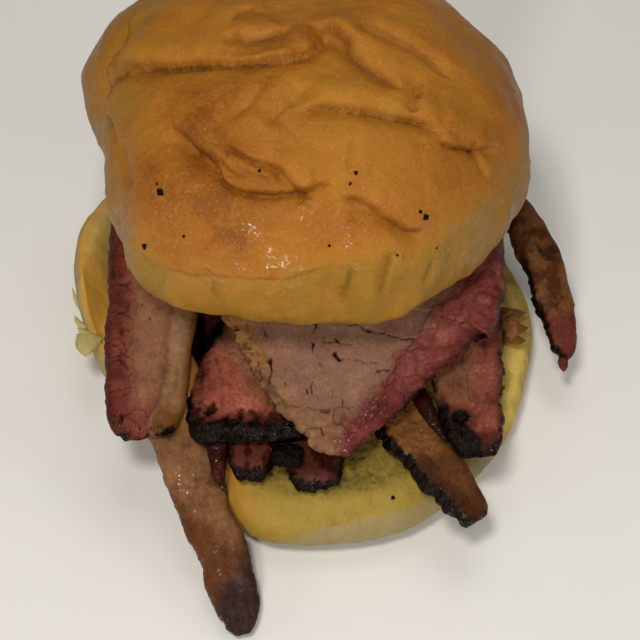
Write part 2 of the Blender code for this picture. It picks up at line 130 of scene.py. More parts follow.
# Soft folds: start, end, bow, width, depth.
CROWN_FOLDS = (
    ((-50.0, 9.0), (-3.4, -7.0), -3.0, 2.5, 1.7),
    ((-3.4, -7.0), (5.2, 3.5), -2.4, 2.4, 1.4),
    ((-36.0, 23.0), (-46.0, -3.0), -1.8, 2.9, 2.3),
    ((-32.0, -14.5), (3.5, -36.5), -8.5, 2.8, 2.4),
    ((-19.0, -26.5), (-1.0, -36.5), 0.5, 2.4, 1.2),
    ((0.5, 4.5), (21.0, -14.5), 0.6, 2.4, 1.4),
    ((10.5, 4.0), (33.0, -7.5), 1.6, 2.4, 1.4),
    ((-3.0, -21.7), (32.5, -20.4), 0.8, 2.5, 1.3),
    ((-7.5, -25.5), (2.5, -14.0), -0.8, 4.0, 0.9),
    ((31.0, -22.0), (43.5, -18.4), 0.3, 2.4, 1.1),
    ((6.5, -38.7), (28.0, -39.6), -1.8, 2.5, 1.3),
    ((-18.5, 2.8), (-2.0, 2.8), -3.0, 2.4, 1.0),
    ((-41.5, -10.0), (-37.5, -28.0), -0.6, 2.5, 0.9),
)
FOLD_STEPS = 9
FOLD_FADE = 0.25
FOLD_SHARE = 0.80
SHOULDER_HEIGHT = 0.45
SHOULDER_AWAY = 1.9
SHOULDER_WIDE = 1.3
# Sharp creases in those folds and finer ones: depth, how soon the left and the right wall level
# out, height of the left shoulder, and the points they pass, from the crown's middle: in plan,
# or in space on the lip.
CREASES = (
    (1.4, 0.5, 3.0, 0.85, ((-50.5, 9.4), (-43.6, 6.4), (-33.0, 0.8), (-22.5, -3.5),
                           (-12.0, -7.3), (-3.4, -7.1), (3.2, -2.8), (5.2, 3.3))),
    (1.9, 1.5, 3.0, 0.30, ((-38.3, 27.4, 21.0), (-41.9, 16.0, 20.3), (-44.5, 10.5, 16.9),
                           (-46.2, 5.6, 11.2), (-46.8, 3.6, 8.4), (-47.0, -2.0, 3.0))),
    (0.9, 0.7, 1.2, 0.30, ((-46.0, 2.5, 8.8), (-43.5, -5.3, 13.3), (-42.4, -9.2, 13.8),
                           (-40.9, -14.0, 13.6))),
    (1.5, 0.5, 3.0, 0.70, ((-30.8, -17.0), (-26.0, -24.2), (-21.6, -29.2), (-15.7, -36.0),
                           (-8.8, -37.8), (-1.3, -37.6), (3.6, -36.8), (9.0, -36.0))),
    (1.1, 0.4, 2.0, 0.70, ((-20.5, -25.4), (-11.6, -31.3), (-6.1, -33.2), (-1.3, -37.0),
                           (3.0, -38.4))),
    (0.5, 0.4, 0.9, 0.30, ((-20.5, -29.0), (-15.1, -33.3), (-8.4, -36.1))),
    (0.4, 0.4, 0.8, 0.30, ((-16.2, -31.1), (-10.9, -34.2), (-5.7, -36.2))),
    (1.1, 0.6, 2.8, 0.65, ((0.8, 4.1), (7.4, 2.2), (12.3, -5.9), (18.0, -11.3), (20.7, -14.3))),
    (1.0, 0.6, 2.5, 0.55, ((32.6, -7.5), (27.1, -3.1), (19.7, 1.5), (10.9, 4.0))),
    (0.8, 0.6, 2.5, 0.40, ((25.7, -7.8), (25.0, -15.6), (23.4, -19.4))),
    (1.1, 0.6, 2.4, 0.50, ((-2.0, -21.7), (2.2, -21.0), (10.0, -20.5), (19.1, -20.8),
                           (26.4, -20.1), (31.5, -20.4))),
    (0.7, 3.5, 3.5, 0.00, ((-7.4, -25.5), (-2.6, -20.0), (2.2, -14.1))),
    (0.9, 0.5, 1.6, 0.40, ((29.2, -23.3), (31.8, -23.2), (36.0, -21.2), (38.4, -20.0),
                           (43.2, -16.9))),
    (0.7, 0.5, 1.4, 0.30, ((37.9, -18.2), (38.4, -20.0), (40.0, -24.5))),
    (1.1, 0.6, 2.4, 0.55, ((7.2, -38.9), (12.0, -38.7), (17.6, -40.8), (21.9, -41.3),
                           (27.0, -39.6))),
    (1.1, 0.5, 2.2, 0.50, ((-18.3, 2.8), (-9.4, -0.3), (-2.2, 2.7))),
    (0.7, 0.5, 1.8, 0.30, ((-15.5, 6.5), (-12.6, 10.2), (-8.9, 6.9))),
    (0.7, 0.6, 2.0, 0.30, ((-41.4, -10.5), (-39.3, -20.5), (-37.8, -26.0), (-37.0, -27.8))),
    (0.4, 1.0, 1.0, 0.00, ((10.6, -26.5), (9.9, -30.9), (9.3, -34.2))),
    (0.5, 1.2, 1.2, 0.00, ((-6.0, -10.0), (-9.0, -17.0), (-16.0, -24.0))),
    (0.2, 0.5, 1.8, 0.30, ((-32.8, -40.1, 4.8), (-29.5, -41.9, 3.7), (-24.0, -44.2, 4.1),
                           (-19.0, -45.5, 4.7), (-9.0, -46.8, 5.5), (-2.0, -46.9, 6.2),
                           (5.1, -46.5, 8.8), (8.9, -46.3, 10.1))),
    (0.7, 1.1, 1.6, 0.15, ((18.9, -44.4, 11.7), (18.0, -46.2, 7.5), (16.5, -47.0, -0.4))),
    (0.5, 0.8, 1.2, 0.15, ((27.8, -40.4, 6.1), (26.9, -41.8, 2.2), (25.2, -43.2, -0.3))),
    (0.7, 1.1, 1.6, 0.15, ((10.4, -46.3, 10.1), (9.4, -47.6, 4.4), (8.6, -47.6, -1.9))),
    (0.5, 0.8, 1.0, 0.15, ((5.8, -46.6, 8.6), (4.7, -47.7, 2.9), (4.4, -47.5, -2.0))),
    (0.5, 1.0, 1.0, 0.10, ((-18.6, -45.7, 4.0), (-19.6, -45.2, -2.9), (-20.0, -44.0, -8.0))),
    (0.4, 1.0, 1.0, 0.10, ((-10.1, -46.8, 5.1), (-9.7, -46.9, -4.3), (-9.0, -46.0, -9.0))),
    (0.5, 0.9, 1.1, 0.10, ((-28.7, -42.0, 5.6), (-31.1, -40.9, -2.8), (-32.0, -39.0, -7.0))),
)
CREASE_STEPS = 4
CREASE_FADE = 0.22
CREASE_DEEPEN = 1.7
# Width of the painted shade along a crease's bottom.
CREASE_SHADE_WIDTH = 0.5
# The puffed skin beside a crease: its height, where it sets in and how soon it levels out.
PUFF_HEIGHT = 2.6
PUFF_NEAR = 0.6
PUFF_FAR = 3.6
# How creases wander: height, size and step of the seed; and a seed for each axis.
CREASE_WANDER = ((0.6, 4.0, 0), (0.25, 1.5, 9))
WANDER_SEEDS = (31, 32, 33)
# How high the brown skin's edge lies on the front, from the left to the right.
SKIN_EDGE = ((-40.0, -30.0, -20.0, -5.0, 9.0, 20.0, 30.0, 45.0),
             (5.5, 4.0, 4.6, 5.8, 9.5, 10.5, 8.0, 9.0))
# Patches of the crust that glisten: place and reach.
OILY = (
    ((-26.5, -37.6, 15.5), 2.6), ((-11.5, -46.5, 8.5), 3.4), ((-3.0, -47.0, 6.8), 3.4),
    ((-19.5, -45.6, 5.6), 3.2), ((-0.5, -38.5, 19.5), 2.6), ((26.8, -40.6, 12.5), 2.4),
    ((9.0, -46.5, 8.0), 2.6), ((20.5, -44.0, 9.8), 2.2), ((-12.0, -44.0, 15.5), 3.0),
    ((-31.0, -38.5, 9.0), 2.2),
)
# Black specks on the crust, in plan from the crown's middle, and half their width.
SPECKS = (
    (-29.6, -34.1, 0.72), (-30.5, -32.4, 0.35), (25.2, -38.0, 0.66), (24.0, -37.8, 0.35),
    (-33.7, -39.0, 0.6), (11.2, -34.3, 0.4), (-8.8, -33.9, 0.4), (-24.5, -41.2, 0.34),
    (10.0, -36.3, 0.3), (5.6, -44.8, 0.32), (19.8, -44.5, 0.3), (28.5, -39.8, 0.25),
)

# ---- beef ----------------------------------------------------------------------------------
# A station is (x, y, z, half width, thickness) at the middle of the slice, back to front.
BEEF = {
    "slice_front": (
        (13.0, 62.0, 36.8, 24.0, 7.8),
        (12.0, 36.0, 39.3, 30.5, 8.4),
        (13.2, 5.0, 40.4, 32.8, 9.4),
        (9.2, -9.0, 38.5, 32.2, 8.4),
        (7.9, -17.0, 35.2, 26.8, 7.2),
        (6.9, -25.0, 31.9, 19.8, 6.2),
        (6.2, -33.0, 28.9, 12.6, 5.2),
        (5.4, -42.3, 25.6, 3.6, 4.0),
    ),
    "slice_left": (
        (-34.0, 53.0, 37.0, 10.0, 7.2),
        (-36.0, 27.0, 39.3, 10.8, 8.2),
        (-37.0, 3.0, 39.6, 10.5, 9.2),
        (-36.8, -9.0, 35.6, 10.7, 8.6),
        (-37.6, -21.0, 29.4, 10.0, 7.8),
        (-37.8, -30.0, 24.8, 9.0, 6.2),
        (-37.0, -35.4, 22.4, 7.2, 4.4),
    ),
    "slice_charred": (
        (-10.0, 60.0, 29.2, 12.5, 7.0),
        (-12.0, 15.0, 30.4, 13.8, 8.0),
        (-12.5, -6.0, 28.4, 13.5, 6.4),
        (-12.5, -18.0, 25.3, 13.5, 5.4),
        (-13.0, -29.0, 23.9, 13.8, 4.8),
        (-12.5, -37.0, 23.6, 11.6, 4.0),
    ),
    "slice_right": (
        (31.0, 57.0, 29.2, 14.0, 7.0),
        (30.0, 20.0, 30.4, 16.0, 8.2),
        (32.5, 0.0, 30.0, 14.2, 7.8),
        (36.2, -14.0, 27.4, 9.4, 6.8),
        (37.0, -27.0, 25.0, 7.8, 5.2),
        (38.0, -34.5, 23.6, 6.8, 4.4),
        (38.6, -40.4, 22.2, 4.6, 3.8),
    ),
    "slice_end_left": (
        (-17.0, 45.0, 21.1, 6.8, 7.0),
        (-18.0, 5.0, 21.3, 8.4, 7.6),
        (-16.5, -20.0, 19.6, 7.5, 4.2),
        (-14.0, -33.0, 19.1, 5.8, 3.6),
        (-13.4, -40.0, 19.0, 5.2, 3.6),
        (-13.4, -44.6, 18.8, 3.8, 3.2),
    ),
    "slice_end_middle": (
        (1.5, 53.0, 21.1, 9.0, 7.0),
        (0.5, 10.0, 21.3, 9.2, 7.6),
        (0.5, -20.0, 19.6, 8.0, 4.2),
        (0.5, -36.0, 19.3, 7.4, 3.8),
        (1.2, -43.0, 19.3, 6.6, 4.2),
        (1.2, -47.6, 19.1, 4.4, 3.2),
    ),
    "slice_inner_left": (
        (-35.5, 47.0, 29.2, 8.6, 7.0),
        (-37.0, 20.0, 30.4, 9.8, 8.0),
        (-37.0, 0.0, 29.7, 9.8, 7.0),
        (-37.0, -7.0, 27.8, 8.0, 5.0),
    ),
    "slice_inner_right": (
        (35.8, 24.0, 21.1, 5.0, 6.8),
        (37.5, 8.0, 21.4, 6.8, 7.6),
        (38.5, -4.0, 21.1, 7.0, 6.8),
        (38.5, -12.0, 19.9, 5.6, 4.8),
    ),
    "fat_strip_left": (
        (-31.0, 44.0, 21.4, 6.2, 7.0),
        (-36.6, 15.0, 21.4, 7.8, 7.6),
        (-37.3, -8.0, 21.0, 7.6, 7.0),
        (-33.4, -26.0, 17.7, 6.8, 6.2),
        (-28.8, -38.5, 16.8, 5.8, 6.0),
        (-24.5, -47.5, 12.4, 5.7, 7.0),
        (-19.7, -57.0, 7.4, 5.8, 7.0),
        (-16.4, -67.0, 4.2, 5.6, 6.4),
        (-14.8, -75.5, 3.0, 3.1, 4.6),
    ),
    "fat_strip_right": (
        (21.6, 52.0, 21.1, 8.8, 7.0),
        (20.4, 12.0, 21.3, 9.2, 7.6),
        (20.2, -14.0, 20.2, 7.6, 5.4),
        (20.6, -27.0, 19.8, 7.0, 4.6),
        (26.2, -37.0, 19.8, 6.4, 5.0),
        (32.3, -46.0, 18.9, 5.4, 5.4),
        (38.6, -53.8, 16.2, 3.8, 4.4),
    ),
    "strip_far_right": (
        (37.5, 57.0, 21.0, 5.8, 6.6),
        (45.5, 44.0, 21.6, 5.6, 6.8),
        (53.6, 31.0, 22.0, 5.0, 6.4),
        (57.6, 18.0, 21.8, 5.0, 6.2),
        (60.2, 7.0, 19.4, 5.0, 5.6),
        (61.8, -1.0, 16.2, 4.2, 5.0),
        (62.8, -7.0, 13.6, 2.4, 3.8),
    ),
}
# The two charred ends: the bark's reach from the tip and how dark the red is. Inner fillers.
ENDS = (("slice_end_left", 2.4, 0.55), ("slice_end_middle", 2.0, 0.66))
INNER = ("slice_inner_left", "slice_inner_right")
# Small loose lumps: middle, half sizes, random seed, finish, slot, share of bark and masks.
LUMPS = {
    "scrap_left": ((-20.9, -41.2, 19.4), (1.6, 4.0, 1.7), 41, "red_beef", "beef_lean", 0.35,
                   {"deep": 0.9, "dark": 0.4}),
    "scrap_right": ((48.8, 0.0, 18.9), (2.8, 4.2, 2.0), 42, "amber_fat", "beef_lean", 0.2,
                    {"fat": 0.9}),
    "bark_lump": ((-4.8, -41.3, 23.7), (3.9, 2.9, 2.0), 43, "black_char", "beef_bark", 1.0, {}),
}
# Both ends of a slice: length and least thickness of the rounding, and how much it narrows.
END_ROUND = 3.0
END_THIN = 0.04
END_NARROW = 1.5
# Its long edges: width of the rounding as a share of the thickness and of the half width.
EDGE_ROUND = 0.55
EDGE_MOST = 0.8
# Its back corners: length, narrowing and shape.
BACK_ROUND = 14.0
BACK_NARROW = 0.45
BACK_POWER = 2.5
# Its uneven surface, and that of a lump: size, and height on the faces and at the edges.
CRAG_SIZE = 7.0
CRAG_FACE = 0.25
CRAG_EDGE = 0.8
LUMP_CRAG = 0.16
LUMP_CRAG_SIZE = 2.6
# Fineness of each slice: random seed, step across its upper face, how far back from the tip its
# rings lie close together, and their step there.
FINE = {
    "slice_front": (11, 0.34, 62.0, 0.30), "slice_left": (12, 0.34, 48.0, 0.30),
    "slice_charred": (13, 0.34, 42.0, 0.30), "slice_right": (14, 0.36, 44.0, 0.32),
    "slice_end_left": (15, 0.36, 30.0, 0.32), "slice_end_middle": (16, 0.36, 30.0, 0.32),
    "slice_inner_left": (17, 0.7, 30.0, 0.6), "slice_inner_right": (18, 0.7, 30.0, 0.6),
    "fat_strip_left": (19, 0.36, 74.0, 0.36), "fat_strip_right": (20, 0.36, 50.0, 0.34),
    "strip_far_right": (21, 0.36, 74.0, 0.36),
}
COARSE_STEP = 1.4
BOTTOM_STEP = 1.2
TOP_FEWEST = 12
BOTTOM_FEWEST = 8
EDGE_STEPS = 14
PATH_STEPS = 24
TIP_STEPS = 9
LINE_STEP = 6
STRAND_AROUND = 22
STRAND_STEPS = 8
STRAND_SWELL = 0.16
# What paint() keeps for every slice.
MASKS = ("ring", "fat", "deep", "amber", "bark", "dark", "wet")

# Cracks and holes in the faces of the slices, in plan: half width, depth, and their points.
CRACKS = {
    "slice_front": (
        (0.16, 0.6, ((8.9, -15.7), (13.4, -17.4), (15.7, -18.2), (22.1, -19.3), (24.1, -19.7))),
        (0.30, 0.8, ((13.4, -17.4), (14.4, -17.8))), (0.28, 0.8, ((22.2, -19.3), (23.6, -19.6))),
        (0.24, 0.8, ((1.1, -14.9), (1.2, -16.6))), (0.16, 0.5, ((3.6, -17.6), (3.9, -19.2))),
        (0.24, 1.0, ((6.1, -18.9), (6.8, -19.7))),
        (0.13, 0.4, ((2.8, -18.8), (6.4, -19.8), (9.3, -20.1))),
        (0.21, 0.9, ((0.7, -19.4), (0.9, -21.1))), (0.34, 1.4, ((5.6, -22.0), (6.4, -23.4))),
        (0.14, 0.4, ((6.6, -23.4), (10.4, -23.6), (15.6, -23.9))),
        (0.13, 0.4, ((1.6, -21.9), (2.5, -24.4))),
        (0.22, 0.6, ((15.4, -25.9), (16.8, -25.6), (18.1, -25.5))),
        (0.16, 0.5, ((-10.3, -15.6), (-10.2, -17.9))),
        (0.30, 0.9, ((-8.7, -23.2), (-9.0, -25.4), (-9.5, -27.8))),
        (0.24, 0.5, ((-4.6, -27.2), (-4.5, -27.5))), (0.22, 0.5, ((-5.6, -28.2), (-5.5, -28.4))),
        (0.20, 0.5, ((0.9, -26.8), (0.9, -27.0))), (0.26, 0.6, ((-0.6, -29.5), (-0.4, -30.0))),
        (0.17, 0.5, ((0.5, -27.9), (0.4, -30.3))),
        (0.15, 0.4, ((-4.8, -32.1), (-1.9, -33.1), (3.3, -34.1), (7.1, -33.0), (10.4, -33.3))),
        (0.26, 0.6, ((2.7, -34.2), (4.1, -34.0))), (0.18, 0.5, ((7.5, -31.5), (7.3, -33.2))),
        (0.20, 0.6, ((-1.4, -37.9), (-0.2, -37.6), (2.4, -37.6), (3.4, -39.3))),
        (0.16, 0.4, ((6.1, -33.0), (5.4, -35.1), (6.3, -36.8), (8.1, -37.3))),
        (0.15, 0.4, ((28.5, -13.0), (25.0, -19.0), (20.0, -24.0), (17.5, -29.5))),
        (0.30, 0.7, ((-14.0, -19.2), (-13.5, -21.2))),
        (0.35, 0.8, ((-15.2, -19.0), (-15.0, -19.9))),
        (0.30, 0.7, ((-17.4, -14.6), (-16.6, -15.6))),
        (0.25, 0.6, ((-12.2, -22.9), (-11.5, -25.0))),
    ),
    "slice_left": (
        (0.22, 0.5, ((-43.8, -18.3), (-43.4, -21.5), (-41.6, -23.1))),
        (0.22, 0.4, ((-45.8, -8.4), (-44.0, -12.6), (-43.6, -16.3), (-42.1, -19.5))),
        (0.22, 0.4, ((-38.6, -10.2), (-38.5, -10.4))),
        (0.20, 0.4, ((-34.9, -10.9), (-34.8, -11.0))),
        (0.24, 0.5, ((-36.5, -13.2), (-36.4, -13.5))),
        (0.20, 0.4, ((-37.4, -15.4), (-37.4, -15.6))),
        (0.60, 1.3, ((-43.2, -33.4), (-42.9, -34.6))),
        (0.15, 0.3, ((-32.2, -28.5), (-32.7, -31.5))),
    ),
    "slice_charred": (
        (0.9, 1.4, ((-22.7, -29.2), (-22.6, -30.4))),
        (0.12, 0.3, ((-21.9, -15.7), (-20.6, -21.3), (-20.2, -27.7), (-21.6, -31.6))),
        (0.16, 0.4, ((-8.4, -23.9), (-9.1, -27.8), (-10.8, -31.7), (-12.0, -34.4))),
    ),
    "slice_right": (
        (0.11, 0.25, ((36.5, -11.2), (35.5, -18.6), (37.0, -28.4))),
        (0.11, 0.2, ((33.0, -23.1), (33.5, -28.4), (32.3, -30.8))),
    ),
}

# Small shreds: finish, slot and masks, and for each strand the points that it passes, its half
# widths along them and its flatness.
SHREDS = {
    "rim_shreds": ("pale_heel", "bun_heel", {"crumb": 1.0, "green": 1.0}, (
        (((-50.8, -2.6, 17.0), (-53.6, -3.6, 17.2), (-55.6, -4.4, 16.8), (-57.2, -5.0, 16.2)),
         (1.4, 2.6, 3.4, 3.7, 2.8), 0.35),
        (((-52.6, 1.2, 19.6), (-55.0, 2.6, 20.4), (-57.2, 5.2, 21.2), (-58.6, 8.6, 22.6)),
         (0.9, 0.9, 0.7, 0.4), 0.7),
        (((-54.6, -0.6, 18.4), (-56.6, 0.4, 18.8), (-57.8, 2.4, 19.4)), (0.8, 0.7, 0.4), 0.7),
        (((-52.8, -2.8, 17.4), (-55.4, -1.6, 17.8), (-57.0, -0.4, 18.2)), (1.0, 0.9, 0.4), 0.6),
    )),
    "red_shreds": ("amber_fat", "beef_lean", {"ring": 1.0, "deep": 0.8}, (
        (((62.2, -5.6, 14.6), (62.0, -7.6, 13.4), (62.2, -9.6, 12.4)), (0.9, 1.3, 0.8), 0.7),
    )),
    "brown_shreds": ("amber_fat", "beef_fat", {"fat": 0.6, "ring": 1.0, "amber": 0.7}, (
        (((46.0, 2.0, 19.4), (49.6, 3.4, 18.8), (53.6, 5.4, 16.9)), (2.2, 2.2, 1.6, 0.7), 0.35),
        (((46.0, -0.4, 19.4), (49.8, -0.8, 18.7), (54.0, 0.8, 16.6)), (2.4, 2.4, 1.7, 0.6), 0.35),
        (((46.4, -2.6, 18.8), (49.8, -3.6, 18.0), (53.0, -3.2, 16.5)), (2.0, 2.0, 1.4, 0.5), 0.35),
    )),
    # Dark red shreds in the gaps between the slices: partly the beef's colour, partly painted
    # shade.
    "maroon_shade_shreds": ("red_beef", "beef_lean",
                      {"ring": 1.0, "deep": 1.0, "dark": 0.8, "wet": 1.0}, (
        (((22.0, -17.0, 25.2), (24.6, -23.6, 24.8), (28.0, -30.6, 24.4), (31.4, -37.6, 23.4)),
         (2.0, 2.4, 2.0, 1.5, 0.8), 0.5),
        (((-21.6, -30.0, 21.4), (-21.4, -36.0, 21.0), (-20.6, -42.0, 19.4), (-19.6, -47.0, 17.8)),
         (2.2, 2.4, 2.2, 1.4, 0.6), 0.6),
        (((-6.6, -27.0, 20.6), (-6.5, -32.0, 20.6), (-6.2, -36.0, 20.3), (-6.0, -40.0, 19.6)),
         (2.6, 2.8, 2.8, 2.4, 1.6), 0.6),
    )),
    "fat_bridge": ("left_beef", "beef_fat", {"fat": 1.0, "amber": 0.8, "wet": 0.8}, (
        (((-29.8, -12.0, 29.6), (-28.8, -21.0, 26.2), (-28.4, -29.0, 22.4), (-28.6, -36.0, 17.4)),
         (1.6, 3.0, 3.2, 3.4, 3.6), 0.5),
    )),
}
# Black crumbs on the heel, and half their width.
HEEL_SPECKS = ((19.2, -47.2, 15.3, 0.42),)

# ---- colours, as 8-bit display values ------------------------------------------------------
# Each beef: lean, smoke ring, fat and dark red, from dark to light, and how glossy its film is.
BEEF_LOOKS = {
    "smoked_beef": (((104, 74, 58), (128, 93, 74), (148, 112, 91)),
                    ((87, 39, 33), (113, 57, 50), (142, 84, 73)),
                    ((118, 83, 42), (151, 105, 58), (183, 136, 80)),
                    ((58, 16, 18), (83, 27, 27), (111, 40, 40)), 0.6),
    "left_beef": (((101, 66, 46), (129, 87, 62), (152, 107, 81)),
                  ((84, 35, 26), (107, 47, 35), (131, 69, 52)),
                  ((108, 80, 56), (134, 101, 72), (160, 127, 96)),
                  ((34, 12, 12), (52, 22, 18), (74, 36, 30)), 0.6),
    "red_beef": (((89, 56, 38), (115, 73, 50), (141, 97, 70)),
                 ((119, 59, 44), (152, 81, 64), (188, 114, 92)),
                 ((54, 32, 18), (74, 46, 28), (98, 66, 42)),
                 ((50, 11, 11), (74, 20, 17), (100, 33, 28)), 0.6),
    "tan_fat": (((103, 69, 41), (124, 86, 53), (145, 105, 69)),
                ((72, 38, 16), (89, 51, 24), (107, 64, 34)),
                ((103, 68, 43), (124, 85, 55), (147, 106, 73)),
                ((28, 18, 21), (44, 31, 33), (69, 53, 55)), 0.7),
    "amber_fat": (((40, 18, 5), (59, 27, 8), (78, 40, 15)),
                  ((38, 15, 5), (53, 24, 7), (70, 36, 14)),
                  ((95, 59, 28), (126, 81, 42), (160, 109, 62)),
                  ((66, 25, 19), (92, 40, 33), (120, 63, 53)), 0.9),
}
CRUST_TINTS = ((149, 109, 30), (160, 111, 33), (165, 106, 30), (154, 93, 24), (128, 72, 15))
# Painted shade in the crown's creases and on its left and right sides.
CREASE_SHADE_TINT = (84, 40, 8)
CRUST_DOT_TINT = (196, 146, 68)
DRY_TINTS = ((126, 101, 32), (153, 128, 49), (171, 148, 70))
SOAKED_TINTS = ((104, 88, 26), (130, 109, 38), (154, 131, 54))
# Darker olive in the open grain and pores: partly juice, partly painted shade.
OPEN_SHADE_TINT = (96, 80, 24)
PORE_SHADE_TINT = (62, 52, 16)
HEEL_TINTS = ((129, 111, 64), (148, 129, 82), (164, 147, 101))
TOAST_TINT = (176, 124, 38)
# Gold of the curled rim, light enough to serve as painted light on its shaded inner wall and on the
# right crumb.
CURL_GOLD_AND_LIGHT_TINTS = ((176, 123, 37), (193, 143, 53), (206, 163, 74))
GREEN_TINT = (172, 158, 100)
# Painted light: the crumb on the right side lightened.
RIGHT_LIGHT_TINT = (220, 192, 98)
AMBER_TINT = (112, 70, 26)
BARK_TINTS = ((3, 2, 2), (8, 5, 5), (24, 14, 12))
# Painted shade in the beef's cracks, pits and hollows, and other darkening of it.
SHADE_AND_DARK_TINT = (12, 5, 4)
CHAR_TINTS = ((3, 2, 2), (9, 6, 6), (24, 15, 13))
FLOOR_TINTS = ((226, 225, 222), (231, 230, 227))

# ---- studio, in metres and watts -----------------------------------------------------------
FLOOR_SIZE = 6.0
SKY = (1.0, 0.98, 0.95, 1.0)
SKY_STRENGTH = 0.07
LIGHT_AIM = (0.0, 0.0, 0.04)
# Lights: name, place, width, power, colour.
LIGHTS = (
    ("front", (-0.06, -0.62, 0.32), 0.08, 2.0, (1.0, 0.95, 0.88)),
    ("high", (-0.10, -0.26, 0.70), 0.12, 2.4, (1.0, 0.96, 0.90)),
    ("over", (0.05, 0.25, 0.72), 0.40, 1.2, (1.0, 0.97, 0.93)),
    ("left", (-0.60, -0.20, 0.34), 0.20, 0.35, (1.0, 0.97, 0.93)),
    ("right", (0.58, -0.20, 0.36), 0.20, 0.6, (1.0, 0.97, 0.93)),
)

# ---- camera, from the photograph's view ----------------------------------------------------
CAMERA_AT = (2.469, -240.762, 334.446)
CAMERA_DOWN = 52.5
CAMERA_LENS = 91.125
SENSOR = 36.0
NEAREST = 0.01


# ============================================================================================
# numbers and shapes
# ============================================================================================
def lattice(cells, seed):
    """Return a repeatable number from -1 to 1 for each whole-number grid point."""
    mix = cells @ np.array([127.1, 311.7, 74.7]) + seed * 19.19
    wave = np.sin(mix) * 43758.5453
    return (wave - np.floor(wave)) * 2.0 - 1.0


def noise(points, size, seed):
    """Return smooth noise from -1 to 1 at each point, with lumps of the given size."""
    scaled = np.asarray(points, dtype=float) / size
    cell = np.floor(scaled)
    part = scaled - cell
    part = part * part * (3.0 - 2.0 * part)
    total = np.zeros(len(scaled))
    for corner in np.ndindex(2, 2, 2):
        side = np.array(corner, dtype=float)
        weight = np.prod(np.where(side > 0, part, 1.0 - part), axis=1)
        total += weight * lattice(cell + side, seed)
    return total


def fractal(points, size, seed, octaves=3, gain=0.55):
    """Return noise with finer and weaker noise added to it."""
    total, height = 0.0, 1.0
    for octave in range(octaves):
        total = total + height * noise(points, size, seed + 7 * octave)
        size, height = size * 0.5, height * gain
    return total


def cells(points, size, seed):
    """Return each point's distance to the nearest and next nearest of spots strewn in space."""
    scaled = np.asarray(points, dtype=float) / size
    home = np.floor(scaled)
    first = np.full(len(scaled), 9.0)
    second = first.copy()
    for step in np.ndindex(3, 3, 3):
        cell = home + np.array(step) - 1.0
        spot = cell + 0.5 + 0.45 * np.column_stack([lattice(cell, seed + k) for k in range(3)])
        gap = np.linalg.norm(scaled - spot, axis=1)
        second = np.minimum(second, np.maximum(first, gap))
        first = np.minimum(first, gap)
    return first, second


def smooth_step(value):
    """Return 0 below 0, 1 above 1 and a smooth rise between."""
    value = np.clip(value, 0.0, 1.0)
    return value * value * (3.0 - 2.0 * value)


def blend(low, high, value):
    """Return how far each value is on a smooth rise from low to high."""
    return smooth_step((value - low) / (high - low))


def outline_radius(angle, rx, ry, power, dents):
    """Return the radius of a squarish, dented outline in each direction."""
    across = np.abs(np.cos(angle) / rx) ** power
    along = np.abs(np.sin(angle) / ry) ** power
    radius = (across + along) ** (-1.0 / power)
    for direction, spread, change in dents:
        turn = np.degrees(angle) - direction
        turn = (turn + 180.0) % 360.0 - 180.0
        radius = radius + change * np.exp(-(turn / spread) ** 4)
    return radius


def ring_points(reach, angle, height):
    """Return points in these directions, this far out and this high."""
    return np.column_stack((reach * np.cos(angle), reach * np.sin(angle), height + 0.0 * angle))


def outward_from(points, hub):
    """Return the direction from a point to each other one."""
    away = points - hub
    return away / np.linalg.norm(away, axis=-1)[..., None]


def ball(subdivisions):
    """Return the points and triangles of a round ball of radius 1."""
    work = bmesh.new()
    bmesh.ops.create_icosphere(work, subdivisions=subdivisions, radius=1.0)
    points = np.array([vertex.co[:] for vertex in work.verts])
    faces = np.array([[vertex.index for vertex in face.verts] for face in work.faces])
    work.free()
    return points, faces


def disc_grid(count):
    """Return radius share, angle and quads of a square grid pulled into a disc."""
    line = np.linspace(-1.0, 1.0, count + 1)
    x, y = np.meshgrid(line, line)
    x, y = x.ravel(), y.ravel()
    radius = np.maximum(np.abs(x), np.abs(y))
    wide = np.abs(x) >= np.abs(y)
    ratio = np.where(wide, y, x) / np.where(radius > 0, np.where(wide, x, y), 1.0)
    angle = np.where(wide, ratio * math.pi / 4.0, math.pi / 2.0 - ratio * math.pi / 4.0)
    angle = angle + np.where(np.where(wide, x < 0, y < 0), math.pi, 0.0)
    row, column = np.meshgrid(np.arange(count), np.arange(count), indexing="ij")
    first = (row * (count + 1) + column).ravel()
    quads = np.column_stack((first, first + 1, first + count + 2, first + count + 1))
    return radius, angle, quads


def disc_border(count):
    """Return the indices round the border of disc_grid, anticlockwise."""
    wide = count + 1
    steps = np.arange(count)
    return np.concatenate((steps, steps * wide + count, count * wide + count - steps,
                           (count - steps) * wide))


def ring_quads(above, below):
    """Return the quads between two rings of as many points."""
    return np.column_stack((above, below, np.roll(below, -1), np.roll(above, -1)))


def bun_half(grid, rings, top_point, side_point):
    """Return the points, quads and last ring of a bun half, and each point's ring, 0 on top."""
    share, angle, quads = disc_grid(grid)
    border = disc_border(grid)
    points, faces, level = [top_point(share, angle)], [quads], [np.zeros(len(share))]
    above, count = border, len(share)
    for ring in range(1, rings + 1):
        points.append(side_point(ring / rings, angle[border]))
        below = count + np.arange(len(border))
        faces.append(ring_quads(above, below))
        level.append(np.full(len(border), ring / rings))
        above, count = below, count + len(border)
    return np.vstack(points), np.vstack(faces), above, np.concatenate(level)


